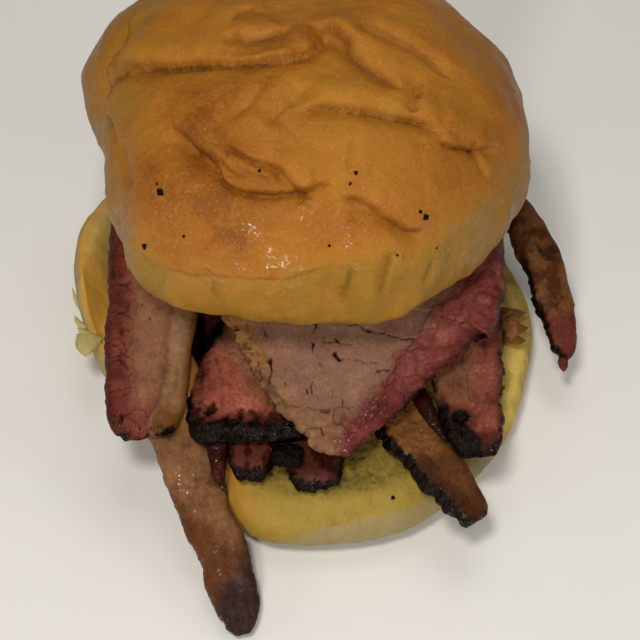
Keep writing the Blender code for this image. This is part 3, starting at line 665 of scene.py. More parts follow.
def make_mesh(name, points, quads, caps=()):
    """Return an object with a smooth mesh of quads and end faces, from millimetres."""
    mesh = bpy.data.meshes.new(name)
    faces = np.asarray(quads).tolist() + [list(map(int, cap)) for cap in caps]
    mesh.from_pydata((np.asarray(points) * MM).tolist(), [], faces)
    mesh.validate()
    work = bmesh.new()
    work.from_mesh(mesh)
    bmesh.ops.recalc_face_normals(work, faces=work.faces[:])
    work.to_mesh(mesh)
    work.free()
    mesh.shade_smooth()
    thing = bpy.data.objects.new(name, mesh)
    bpy.context.collection.objects.link(thing)
    return thing


def mesh_normals(thing):
    """Return the direction each point of a mesh faces."""
    normals = np.empty(len(thing.data.vertices) * 3, np.float32)
    thing.data.vertex_normals.foreach_get("vector", normals)
    return normals.reshape(-1, 3).astype(float)


def move_points(thing, points, shift):
    """Move each point of a mesh along its normal, in millimetres."""
    moved = points + mesh_normals(thing) * np.asarray(shift)[:, None]
    moved[:, 2] = np.maximum(moved[:, 2], 0.0)
    thing.data.vertices.foreach_set("co", (moved * MM).astype(np.float32).ravel())
    thing.data.update()
    return moved


def paint(thing, **masks):
    """Keep a number for each point of a mesh, for its material to read."""
    for name, values in masks.items():
        layer = thing.data.attributes.new(name, "FLOAT", "POINT")
        layer.data.foreach_set("value", np.clip(values, 0.0, 1.0).astype(np.float32))


def line_distance(points, line, outward=None):
    """Return each point's distance from a broken line, its side of it, and how far along."""
    best = np.full(len(points), 1e9)
    side, along = np.zeros(len(points)), np.zeros(len(points))
    pieces = len(line) - 1
    for piece in range(pieces):
        start, way = line[piece], line[piece + 1] - line[piece]
        offset = points - start
        share = np.clip(offset @ way / max(way @ way, 1e-9), 0.0, 1.0)
        gap = np.linalg.norm(offset - share[:, None] * way, axis=1)
        if outward is None:
            hand = way[0] * offset[:, 1] - way[1] * offset[:, 0]
        else:
            hand = (np.cross(way, offset) * outward).sum(axis=1)
        nearer = gap < best
        best = np.where(nearer, gap, best)
        side = np.where(nearer, np.sign(hand), side)
        along = np.where(nearer, (piece + share) / pieces, along)
    return best, side, along


def pebbles(points, size, seed):
    """Return 0 on the lines of an uneven net, rising to about 1 between them."""
    wander = np.column_stack([0.35 * size * noise(points, 0.8 * size, seed + k)
                              for k in range(3)])
    first, second = cells(points + wander, size, seed + 5)
    return second - first


def vein_net(points, size, seed, width):
    """Return 1 on the lines of an uneven net and 0 between them."""
    return blend(width, 0.0, pebbles(points, size, seed))


def patches(points, low, high, size, seed, octaves=3):
    """Return 0 to 1 in uneven patches."""
    return blend(low, high, fractal(points, size, seed, octaves))


# ============================================================================================
# finishes
# ============================================================================================
def tint(red, green, blue):
    """Return the linear colour of three 8-bit display values."""
    shares = np.array((red, green, blue)) / 255.0
    linear = np.where(shares <= 0.04045, shares / 12.92, ((shares + 0.055) / 1.055) ** 2.4)
    return (*(float(value) for value in linear), 1.0)


class Finish:
    """A material, built up node by node."""

    def __init__(self, name):
        self.material = bpy.data.materials.new(name)
        self.material.use_nodes = True
        self.tree = self.material.node_tree
        self.shader = self.tree.nodes["Principled BSDF"]
        self.place = self.tree.nodes.new("ShaderNodeTexCoord").outputs["Object"]

    def add(self, kind, output, settings, **inputs):
        """Add a node, set its settings and inputs, and return one of its outputs."""
        node = self.tree.nodes.new("ShaderNode" + kind)
        for name, value in settings.items():
            setattr(node, name, value)
        for name, value in inputs.items():
            socket = node.inputs[int(name[1:])] if name[1:].isdigit() else node.inputs[name]
            self.set(socket, value)
        return node.outputs[output]

    def set(self, socket, value):
        """Link a socket to another, or give it a fixed value."""
        if isinstance(value, bpy.types.NodeSocket):
            self.tree.links.new(value, socket)
        else:
            socket.default_value = value

    def mask(self, name):
        """Return the number that paint() kept under this name."""
        return self.add("Attribute", "Fac", {"attribute_name": name})

    def grain(self, size, detail=3.0, rough=0.55, stretch=None):
        """Return noise from 0 to 1 with lumps of this many millimetres."""
        place = self.place
        if stretch:
            place = self.add("Mapping", 0, {}, Vector=self.place, Scale=stretch)
        return self.add("TexNoise", "Fac", {}, Vector=place, Scale=1000.0 / size,
                        Detail=detail, Roughness=rough)

    def cell(self, size, feature="F1"):
        """Return distance in a pattern of cells of this many millimetres."""
        return self.add("TexVoronoi", "Distance", {"feature": feature}, Vector=self.place,
                        Scale=1000.0 / size)

    def sum(self, kind, first, second):
        """Return a sum, product or other combination of two numbers."""
        return self.add("Math", 0, {"operation": kind}, _0=first, _1=second)

    def span(self, value, low, high, out_low=0.0, out_high=1.0):
        """Return value carried from one range to another, kept inside it."""
        return self.add("MapRange", "Result", {}, Value=value, _1=low, _2=high, _3=out_low,
                        _4=out_high)

    def vary(self, value, noise, amount):
        """Return a number made a little larger or smaller by noise."""
        return self.sum("ADD", value, self.span(noise, 0.3, 0.7, -amount, amount))

    def between(self, share, first, second):
        """Return a number part of the way from one to another."""
        return self.add("Mix", 0, {}, _0=share, _2=first, _3=second)

    def mix(self, share, first, second):
        """Return a mixed colour; the second may be given as display values."""
        if isinstance(second, tuple):
            second = tint(*second)
        return self.add("Mix", 2, {"data_type": "RGBA"}, _0=share, _6=first, _7=second)

    def ramp(self, value, stops):
        """Return a colour from evenly spaced stops, given as display values."""
        node = self.tree.nodes.new("ShaderNodeValToRGB")
        node.color_ramp.interpolation = "EASE"
        while len(node.color_ramp.elements) < len(stops):
            node.color_ramp.elements.new(0.5)
        for step, colour in enumerate(stops):
            node.color_ramp.elements[step].position = step / (len(stops) - 1)
            node.color_ramp.elements[step].color = tint(*colour)
        self.set(node.inputs["Fac"], value)
        return node.outputs["Color"]

    def bump(self, height, distance, normal=None):
        """Return a bumpy normal; distance is in millimetres."""
        inputs = {"Height": height, "Strength": 1.0, "Distance": distance * MM}
        if normal:
            inputs["Normal"] = normal
        return self.add("Bump", 0, {}, **inputs)

    def done(self, colour, roughness, normal, **fixed):
        """Set the shader's inputs and return the material."""
        self.set(self.shader.inputs["Base Color"], colour)
        self.set(self.shader.inputs["Roughness"], roughness)
        self.set(self.shader.inputs["Normal"], normal)
        for name, value in fixed.items():
            self.shader.inputs[name.replace("_", " ")].default_value = value
        return self.material


def crust_finish():
    """Golden crust with a leathery grain: paler at the lip, browner towards the top, with painted
    shade in its creases and on its left and right sides.
    """
    crust = Finish("golden_crust")
    blotch = crust.grain(9.0, 4.0, 0.6)
    fine = crust.grain(0.8, 4.0, 0.65)
    tone = crust.vary(crust.mask("tone"), blotch, 0.14)
    colour = crust.ramp(crust.vary(tone, fine, 0.14), CRUST_TINTS)
    # Painted shade in the creases and towards the left and right sides.
    colour = crust.mix(crust.mask("crease"), colour, CREASE_SHADE_TINT)
    dots = crust.span(crust.cell(1.2), 0.08, 0.26, 0.36, 0.0)
    colour = crust.mix(dots, colour, CRUST_DOT_TINT)
    dull = crust.span(crust.grain(7.0, 4.0, 0.6), 0.36, 0.62, 0.52, 0.32)
    beads = crust.grain(1.1, 2.0, 0.5)
    shine = crust.sum("MULTIPLY", crust.mask("oily"), crust.span(beads, 0.42, 0.54))
    rough = crust.between(shine, dull, 0.14)
    crust.set(crust.shader.inputs["Coat Weight"], crust.sum("MULTIPLY", shine, 0.8))
    normal = crust.bump(crust.sum("MULTIPLY", beads, crust.mask("oily")), 0.5)
    normal = crust.bump(crust.grain(2.6, 3.0, 0.6), 0.20, normal)
    crust.set(crust.shader.inputs["Coat Normal"], normal)
    normal = crust.bump(crust.grain(0.6, 5.0, 0.7), 0.24, normal)
    normal = crust.bump(crust.span(crust.cell(1.3), 0.0, 0.25, 1.0, 0.0), 0.06, normal)
    return crust.done(colour, rough, normal, Specular_IOR_Level=0.34,
                      Specular_Tint=(1.0, 0.78, 0.50, 1.0), Coat_Roughness=0.12)


def crumb_colour(crumb):
    """Return the colour of crumb: yellow, more olive where juice has soaked in, with painted shade
    in its open grain and pores.
    """
    blotch = crumb.grain(5.0, 5.0, 0.65)
    blotch = crumb.vary(blotch, crumb.grain(0.9, 4.0, 0.7), 0.22)
    dry = crumb.ramp(blotch, DRY_TINTS)
    soaked = crumb.ramp(blotch, SOAKED_TINTS)
    colour = crumb.mix(crumb.mask("soak"), dry, soaked)
    open_grain = crumb.grain(1.3, 3.0, 0.65, (1.0, 0.5, 1.0))
    holes = crumb.sum("MULTIPLY", crumb.span(open_grain, 0.56, 0.46), crumb.mask("soak"))
    # Partly juice, partly painted shade in the open grain and the pores.
    colour = crumb.mix(crumb.sum("MULTIPLY", holes, 0.6), colour, OPEN_SHADE_TINT)
    return crumb.mix(crumb.mask("pore"), colour, PORE_SHADE_TINT)


def crumb_finish():
    """Soft yellow crumb with open pores, darkened partly with painted shade."""
    crumb = Finish("soft_crumb")
    normal = crumb.bump(crumb.span(crumb.cell(0.9), 0.0, 0.5), 0.14)
    normal = crumb.bump(crumb.grain(0.5, 3.0, 0.6), 0.10, normal)
    return crumb.done(crumb_colour(crumb), 0.75, normal, Specular_IOR_Level=0.25)


def heel_finish():
    """The heel: pale crust below, crumb above, and a golden rim at the left; painted light
    brightens the curl's shaded inner wall and the crumb on the right.
    """
    heel = Finish("pale_heel")
    blotch = heel.grain(7.0, 4.0, 0.6)
    fine = heel.grain(0.8, 3.0, 0.6)
    crust = heel.ramp(heel.vary(blotch, fine, 0.1), HEEL_TINTS)
    colour = heel.mix(heel.mask("crumb"), crust, crumb_colour(heel))
    colour = heel.mix(heel.mask("toast"), colour, TOAST_TINT)
    gold = heel.ramp(blotch, CURL_GOLD_AND_LIGHT_TINTS)
    # Gold of the curl, also painted light on its shaded inner wall and on the right crumb.
    colour = heel.mix(heel.mask("curled"), colour, gold)
    colour = heel.mix(heel.mask("green"), colour, GREEN_TINT)
    # Painted light on the right crumb.
    colour = heel.mix(heel.mask("pale"), colour, RIGHT_LIGHT_TINT)
    rough = heel.span(heel.mask("crumb"), 0.0, 1.0, 0.5, 0.72)
    pits = heel.sum("MULTIPLY", heel.grain(1.3, 3.0, 0.65, (1.0, 0.5, 1.0)), heel.mask("soak"))
    normal = heel.bump(pits, 0.6)
    normal = heel.bump(heel.grain(0.7, 4.0, 0.65), 0.16, normal)
    return heel.done(colour, rough, normal, Specular_IOR_Level=0.3)


def beef_finish(name):
    """Smoked beef: lean with a fine grain, a smoke ring, fat, dark red, black bark, and painted
    shade in its cracks, pits and hollows.
    """
    lean, ring, fat, deep, film = BEEF_LOOKS[name]
    beef = Finish(name)
    blotch = beef.grain(6.0, 5.0, 0.6)
    fine = beef.grain(0.9, 4.0, 0.7)
    threads = beef.cell(0.9, "DISTANCE_TO_EDGE")
    mixed = beef.sum("ADD", beef.sum("MULTIPLY", blotch, 0.55), beef.sum("MULTIPLY", fine, 0.45))
    spread = beef.span(mixed, 0.34, 0.66)
    colour = beef.ramp(spread, lean)
    colour = beef.mix(beef.mask("ring"), colour, beef.ramp(spread, ring))
    seams = beef.span(threads, 0.0, 0.10, 0.22, 0.0)
    colour = beef.mix(seams, colour, deep[1])
    smooth = beef.mask("fat")
    colour = beef.mix(smooth, colour, beef.ramp(spread, fat))
    colour = beef.mix(beef.mask("deep"), colour, beef.ramp(spread, deep))
    colour = beef.mix(beef.mask("amber"), colour, AMBER_TINT)
    crust = beef.mask("bark")
    colour = beef.mix(crust, colour, beef.ramp(beef.span(fine, 0.3, 0.7), BARK_TINTS))
    # Painted shade in cracks, pits and hollows, and other darkening.
    colour = beef.mix(beef.mask("dark"), colour, SHADE_AND_DARK_TINT)
    dull = beef.span(beef.grain(1.4, 3.0, 0.6), 0.35, 0.65, 0.42, 0.62)
    flaky = beef.span(beef.grain(2.2, 3.0, 0.6), 0.45, 0.60, 0.42, 0.18)
    dull = beef.between(crust, dull, flaky)
    drops = beef.span(beef.grain(0.6, 1.0, 0.5), 0.55, 0.62)
    wet = beef.sum("MULTIPLY", beef.mask("wet"), drops)
    rough = beef.between(wet, dull, 0.10)
    grain = beef.sum("MULTIPLY", beef.grain(0.7, 5.0, 0.7), beef.span(smooth, 0.0, 1.0, 1.0, 0.15))
    normal = beef.bump(beef.span(threads, 0.0, 0.25), 0.02)
    normal = beef.bump(grain, 0.06, normal)
    normal = beef.bump(beef.sum("MULTIPLY", fine, crust), 0.30, normal)
    beads = beef.sum("MULTIPLY", beef.cell(0.7), beef.mask("wet"))
    normal = beef.bump(beads, 0.05, normal)
    beef.set(beef.shader.inputs["Coat Weight"], beef.sum("MULTIPLY", wet, film))
    beef.set(beef.shader.inputs["Coat Normal"], normal)
    return beef.done(colour, rough, normal, Specular_IOR_Level=0.11,
                     Specular_Tint=(1.0, 0.76, 0.60, 1.0), Coat_Roughness=0.06)


def char_finish():
    """Black crusty bark with a dull shine on its crags."""
    char = Finish("black_char")
    fine = char.grain(0.9, 5.0, 0.7)
    colour = char.ramp(char.span(fine, 0.3, 0.7), CHAR_TINTS)
    rough = char.span(char.grain(1.3), 0.45, 0.62, 0.42, 0.18)
    normal = char.bump(fine, 0.35)
    return char.done(colour, rough, normal, Specular_IOR_Level=0.07,
                     Specular_Tint=(1.0, 0.80, 0.70, 1.0))


# ============================================================================================
# the bun
# ============================================================================================
def dome_height(share):
    """Return the height of the crown's dome above its widest level."""
    share = np.clip(share, 0.0, 1.0)
    return CROWN_RISE * (1.0 - share ** CROWN_DOME) ** (1.0 / CROWN_DOME)


def crown_radius(angle):
    """Return the crown's radius at its widest level."""
    return outline_radius(angle, CROWN_RX, CROWN_RY, CROWN_SQUARE, CROWN_DENTS)


def on_dome(plan):
    """Lift points given in plan onto the crown's dome."""
    plan = np.asarray(plan, dtype=float)
    radius = crown_radius(np.arctan2(plan[:, 1], plan[:, 0]))
    share = np.hypot(plan[:, 0], plan[:, 1]) / radius
    return np.column_stack((plan, dome_height(share)))


def fold_path(start, end, bow):
    """Return points on the dome along one bowed fold."""
    start, end = np.array(start), np.array(end)
    way = end - start
    left = np.array([-way[1], way[0]]) / np.linalg.norm(way)
    share = np.linspace(0.0, 1.0, FOLD_STEPS)[:, None]
    return on_dome(start + way * share + left * bow * 4.0 * share * (1.0 - share))


def end_fade(along, fade):
    """Return 1 along a line, falling to 0 at its two ends."""
    return smooth_step(along / fade) * smooth_step((1.0 - along) / fade)


def fold_depth(points, path, width, depth):
    """Return how far a fold moves the crust: a furrow with a raised left shoulder."""
    gap, side, along = line_distance(points, path)
    furrow = np.exp(-(gap / width) ** 2)
    away = gap * side - SHOULDER_AWAY * width
    shoulder = np.exp(-(away / (SHOULDER_WIDE * width)) ** 2)
    return depth * end_fade(along, FOLD_FADE) * (SHOULDER_HEIGHT * shoulder - furrow)


def crease_depth(points, outward, path, depth, left, right, shoulder):
    """Return how far a sharp crease moves the crust, and how near its bottom each point is, for the
    painted shade along it.
    """
    gap, side, along = line_distance(points, path, outward)
    fade = end_fade(along, CREASE_FADE)
    furrow = np.exp(-gap / np.where(side > 0, left, right))
    puff = np.where(side > 0, (1.0 - np.exp(-gap / PUFF_NEAR)) * np.exp(-gap / PUFF_FAR), 0.0)
    move = fade * (PUFF_HEIGHT * shoulder * puff - CREASE_DEEPEN * depth * furrow)
    return move, fade * np.exp(-(gap / CREASE_SHADE_WIDTH) ** 2)


def smooth_line(points, steps):
    """Return a smooth line through points."""
    rows = np.asarray(points, dtype=float)
    padded = np.vstack((2 * rows[0] - rows[1], rows, 2 * rows[-1] - rows[-2]))
    line = []
    for piece in range(len(rows) - 1):
        before, start, end, after = padded[piece:piece + 4]
        for share in np.linspace(0.0, 1.0, steps, endpoint=False):
            line.append(0.5 * (2 * start + (end - before) * share
                               + (2 * before - 5 * start + 4 * end - after) * share ** 2
                               + (3 * start - before - 3 * end + after) * share ** 3))
    line.append(rows[-1])
    return np.array(line)


def crown_crust(points):
    """Return crown points moved by dents, folds and creases, and how deep in a crease each is."""
    outward = outward_from(points, np.array([0.0, 0.0, CROWN_HUB]))
    shift = sum(height * noise(points, size, seed) for height, size, seed in CROWN_LUMPS)
    for start, end, bow, width, depth in CROWN_FOLDS:
        shift = shift + FOLD_SHARE * fold_depth(points, fold_path(start, end, bow), width, depth)
    deep = np.zeros(len(points))
    wander = np.column_stack([sum(height * noise(points, size, seed + step)
                                  for height, size, step in CREASE_WANDER)
                              for seed in WANDER_SEEDS])
    for depth, left, right, shoulder, line in CREASES:
        path = smooth_line(line, CREASE_STEPS)
        path = on_dome(path) if path.shape[1] == 2 else path
        move, near = crease_depth(points + wander, outward, path, depth, left, right, shoulder)
        shift, deep = shift + move, np.maximum(deep, near * min(depth, 1.0))
    lip = blend(12.0, 2.0, points[:, 2])
    shift = shift + 1.3 * lip * noise(points * np.array([1.0, 1.0, 0.45]), 7.0, 53)
    shift = shift + 0.35 * lip * fractal(points * np.array([1.0, 1.0, 0.6]), 3.0, 54, 2)
    shift = shift + 0.24 * fractal(points, 5.0, 52) + 0.05 * fractal(points, 2.0, 51)
    return points + outward * shift[:, None], deep


def crown_place(points):
    """Tilt the crown back and set it on the beef."""
    tilt = math.radians(CROWN_TILT)
    x, y, z = points.T
    back = y * math.cos(tilt) - z * math.sin(tilt)
    up = y * math.sin(tilt) + z * math.cos(tilt)
    return np.column_stack((x, back, up)) + np.array(CROWN_AT)


def crown_top(share, angle):
    """Return points of the dome before it is dented, down to its widest level."""
    share = np.sin(share * math.pi / 2.0)
    return ring_points(crown_radius(angle) * share, angle, dome_height(share))


def crown_side(step, angle):
    """Return one ring of the lip before it is dented, down to the cut face."""
    share = 1.0 - (1.0 - CROWN_CUT) * (1.0 - math.cos(step * math.pi / 2.0))
    drop = CROWN_DROP * math.sin(step * math.pi / 2.0) ** (2.0 / CROWN_LIP)
    return ring_points(crown_radius(angle) * share, angle, -drop)


def crown_masks(full, deep):
    """Return how brown the crust is, the painted shade in its creases and on its sides, and how
    oily it is.
    """
    x, y, z = full.T
    pale_to = np.interp(x, *SKIN_EDGE) + 1.2 * noise(full, 14.0, 61)
    above = z - pale_to * blend(30.0, -10.0, y) + 1.3 * fractal(full, 4.0, 66, 4)
    tone = 0.30 * blend(-6.0, 9.0, above) + 0.22 * blend(-0.8, 0.8, above) + 0.05
    # Browner in a band across the front, about 19 mm up: partly the crust's own colour, partly
    # painted shade.
    tone = tone + 0.20 * np.exp(-((z - 19.0) / 6.0) ** 2) * blend(0.0, -25.0, y)
    tone = tone - 0.22 * blend(-26.0, -42.0, x) * blend(30.0, 20.0, z)
    tone = tone + 0.22 * noise(full, 19.0, 62) + 0.12 * fractal(full, 7.0, 64)
    oily = sum(np.exp(-(np.linalg.norm(full - np.array(spot), axis=1) / reach) ** 2)
               for spot, reach in OILY)
    shiny = blend(24.0, 14.0, z) * blend(-20.0, -34.0, y)
    oily = np.maximum(oily, 0.35 * shiny * patches(full, -0.1, 0.6, 6.0, 65, 2))
    moist = np.exp(-((above + 2.0) / 2.5) ** 2) * blend(-10.0, -30.0, y)
    oily = np.maximum(oily, 0.5 * moist * patches(full, -0.2, 0.5, 5.0, 67, 2))
    # Painted shade: the crust darkened towards its left and right sides, carried in the crease mask
    # with the painted shade in the creases.
    sides = 0.24 * blend(24.0, 48.0, np.abs(x + 1.0))
    return {"tone": tone, "crease": np.maximum(0.65 * deep, sides),
            "oily": oily * patches(full, -0.4, 0.3, 1.8, 63, 2)}


def make_crown(finish):
    """Make the wrinkled crust of the crown, hollowed a little for its crumb below."""
    points, quads, last, _ = bun_half(CROWN_GRID, CROWN_RINGS, crown_top, crown_side)
    flat = points[last]
    inner = flat * np.array([HOLLOW_SHARE, HOLLOW_SHARE, 1.0]) + np.array([0.0, 0.0, CROWN_HOLLOW])
    bent, deep = crown_crust(points[:len(points) - len(last)])
    rim = len(points) + np.arange(len(last))
    crown = make_mesh("crown_crust", crown_place(np.vstack((bent, flat, inner))),
                      np.vstack((quads, ring_quads(last, rim))), [rim[::-1]])
    deep = np.concatenate((deep, np.zeros(2 * len(last))))
    paint(crown, **crown_masks(np.vstack((points, inner)), deep))
    crown.data.materials.append(finish)
    return crown


def make_crown_crumb(finish):
    """Make the porous cut face under the crown."""
    share, angle, quads = disc_grid(CROWN_CRUMB_GRID)
    border = disc_border(CROWN_CRUMB_GRID)
    low = ring_points(crown_radius(angle) * share * CROWN_CUT * CRUMB_SHARE, angle,
                      0.1 - CROWN_DROP)
    pore = crumb_pores(low, 71)
    low[:, 2] += 0.8 * pore * blend(1.0, 0.97, share) + 0.25 * (1.0 + noise(low, 5.0, 72))
    rim = low[border] + np.array([0.0, 0.0, CRUMB_RIM])
    top = len(low) + np.arange(len(border))
    crumb = make_mesh("crown_crumb", crown_place(np.vstack((low, rim))),
                      np.vstack((quads, ring_quads(border, top))), [top])
    paint(crumb, pore=np.concatenate((pore, np.zeros(len(border)))),
          soak=np.full(len(low) + len(border), 0.4))
    crumb.data.materials.append(finish)
    return crumb


def crumb_pores(points, seed):
    """Return 1 in the open pores of a crumb and 0 between them."""
    fine, _ = cells(points, 1.5, seed)
    coarse, _ = cells(points, 3.4, seed + 3)
    return np.maximum(blend(0.36, 0.16, fine), blend(0.30, 0.12, coarse))


def heel_shift(points):
    """Curl the left rim up, press the crumb down under the strip and roughen the crumb."""
    x, y, z = points.T
    middle, half = CURL_SPAN
    along = 1.0 - smooth_step((np.abs(y - middle) - half) / CURL_FADE)
    way = math.radians(CURL_WAY)
    outward = x * math.cos(way) + y * math.sin(way)
    curl = CURL_RISE * smooth_step((outward - CURL_FROM) / CURL_RUN) * along
    reach = np.hypot(x - PRESS_AT[0], y - PRESS_AT[1]) / PRESS_REACH
    upper = smooth_step((z - HEEL_STILL[0]) / (HEEL_STILL[1] - HEEL_STILL[0]))
    press = PRESS_DEPTH * np.exp(-reach ** 2) * upper
    lumps = HEEL_LUMP * noise(points, HEEL_LUMP_SIZE, 3) * upper
    return np.column_stack((x, y, z + curl - press + lumps))


def heel_radius(angle):
    """Return the heel's radius at its widest level."""
    return outline_radius(angle, HEEL_RX, HEEL_RY, HEEL_SQUARE, HEEL_DENTS)


def heel_top(share, angle):
    """Return points of the heel's cut face, closer together near the rim."""
    share = 1.0 - (1.0 - share) ** HEEL_CROWD
    border = smooth_step((share - 0.9) / 0.1)
    height = HEEL_TOP - HEEL_SAG * share ** 4 - (HEEL_SINK - HEEL_SAG) * border
    return ring_points(heel_radius(angle) * share * HEEL_FACE, angle, height)


def heel_side(step, angle):
    """Return one ring of the heel's side, from the cut face's edge down to the foot."""
    edge = math.radians(HEEL_EDGE)
    turn = edge - step * (edge + math.pi / 2.0)
    if turn > 0.0:
        rise = math.sin(turn) / math.sin(edge)
        share = 1.0 - (1.0 - HEEL_FACE) * (turn / edge) ** 2
    else:
        rise = math.sin(turn)
        share = HEEL_FOOT + (1.0 - HEEL_FOOT) * math.cos(turn)
    level = (HEEL_TOP - HEEL_SINK) * (1.0 + rise) / 2.0
    return ring_points(heel_radius(angle) * share, angle, level)


def make_heel(finish):
    """Make the heel, with its porous cut face, curled left rim and thin pale crust."""
    points, quads, last, ring = bun_half(HEEL_GRID, HEEL_RINGS, heel_top, heel_side)
    foot, top = ring == 1.0, ring == 0.0
    angle = np.arctan2(points[:, 1], points[:, 0])
    radius = heel_radius(angle)
    inward = radius - np.hypot(points[:, 0], points[:, 1])
    direction = np.degrees(angle) % 360.0
    rim = np.exp(-((direction - CURL_WAY) / RIM_SPREAD) ** 4)
    over = np.where(top, inward - (1.0 - HEEL_FACE) * radius, SIDE_LENGTH * ring)
    roll = HEEL_ROLL * np.exp(-np.abs(over) / ROLL_REACH) * (1.0 - rim)
    shaped = points - roll[:, None] * ring_points(ROLL_IN, angle, ROLL_DOWN)
    shaped = np.where(foot[:, None], points, heel_shift(shaped))
    heel = make_mesh("heel_bread", shaped, quads, [last[::-1]])
    ragged = inward + 0.9 * fractal(points, 4.0, 81)
    right = blend(0.72, 0.90, np.cos(angle - 0.1))
    low = np.interp(direction, *CRUMB_LOW) + 0.45 * right
    crumb = np.where(top, 1.0, blend(0.02, -0.02, ring - low + 0.015 * fractal(points, 5.0, 82)))
    near = blend(4.0, 11.0, ragged + 2.0 * noise(points, 9.0, 85)) * top
    patch = patches(points, -0.4, 0.4, 3.0, 88)
    pore = crumb_pores(points, 83) * near * patch
    toast = np.exp(-((direction - TOAST_WAY) / TOAST_SPREAD) ** 2)
    curled = rim * blend(17.0, 12.0, inward) * patches(points, -0.6, 0.5, 6.0, 89)
    green = 0.6 * rim * blend(1.0, 7.0, inward) * blend(8.0, 24.0, points[:, 1])
    front = blend(-8.0, -22.0, points[:, 1])
    soak = near * (0.65 + 0.35 * patch) * (1.0 - rim) * (0.25 + 0.75 * front)
    lift = 0.12 * fractal(points, 2.4, 86) - 0.45 * pore * (1.0 - 0.7 * rim)
    crease = fractal(points * np.array([1.0, 1.0, 2.5]), 6.0, 87)
    lift = lift - 0.30 * blend(0.12, 0.0, np.abs(crease)) * (1.0 - crumb)
    lift = lift + 0.35 * rim * fractal(points, 9.0, 90, 2) * (ring < 0.6)
    move_points(heel, shaped, np.where(foot, 0.0, lift))
    inside = blend(0.0, 3.0, inward)
    paint(heel, crumb=crumb, pore=0.35 * pore * (1.0 - rim), soak=soak,
          toast=TOAST_MOST * toast * blend(10.0, 3.0, inward), green=green,
          # Gold of the curl: its own colour, and painted light on its shaded inner wall and the
          # right crumb.
          curled=np.maximum.reduce([curled * inside,
                                    0.9 * rim * blend(18.0, 13.0, inward) * inside,
                                    0.3 * right * crumb]),
          # Painted light: the crumb on the right side lightened.
          pale=right * crumb * (0.25 + 0.5 * patches(points, -0.6, 0.5, 3.0, 91)))
    heel.data.materials.append(finish)
    return heel


# ============================================================================================
# the beef
# ============================================================================================
def stations(rows, fine_from, fine_step):
    """Return a slice's rows at stations that lie closer together in front and at both ends."""
    line = smooth_line(rows, PATH_STEPS)
    gone = np.concatenate(([0.0], np.cumsum(np.linalg.norm(np.diff(line[:, :3], axis=0), axis=1))))
    length = gone[-1]
    middle = max(length - fine_from, END_ROUND + 1.0)
    tip = END_ROUND * (1.0 - np.cos(np.linspace(0.0, math.pi / 2.0, TIP_STEPS)))[:-1]
    back = np.arange(END_ROUND, middle, COARSE_STEP)
    front = np.arange(middle, length - END_ROUND, fine_step)
    marks = np.concatenate((tip, back, front, (length - tip)[::-1]))
    return np.column_stack([np.interp(marks, gone, column) for column in line.T]), marks, length


def section(top_steps, bottom_steps):
    """Return flat share, edge share and height share of points round a slice's section."""
    turn = math.pi * np.arange(EDGE_STEPS) / EDGE_STEPS
    top = 1.0 - 2.0 * np.arange(top_steps) / top_steps
    bottom = 2.0 * np.arange(bottom_steps) / bottom_steps - 1.0
    left = np.column_stack((-np.ones(EDGE_STEPS), -np.sin(turn), np.cos(turn)))
    right = np.column_stack((np.ones(EDGE_STEPS), np.sin(turn), -np.cos(turn)))
    return np.vstack((np.column_stack((top, 0.0 * top, 1.0 + 0.0 * top)), left,
                      np.column_stack((bottom, 0.0 * bottom, 0.0 * bottom - 1.0)), right))


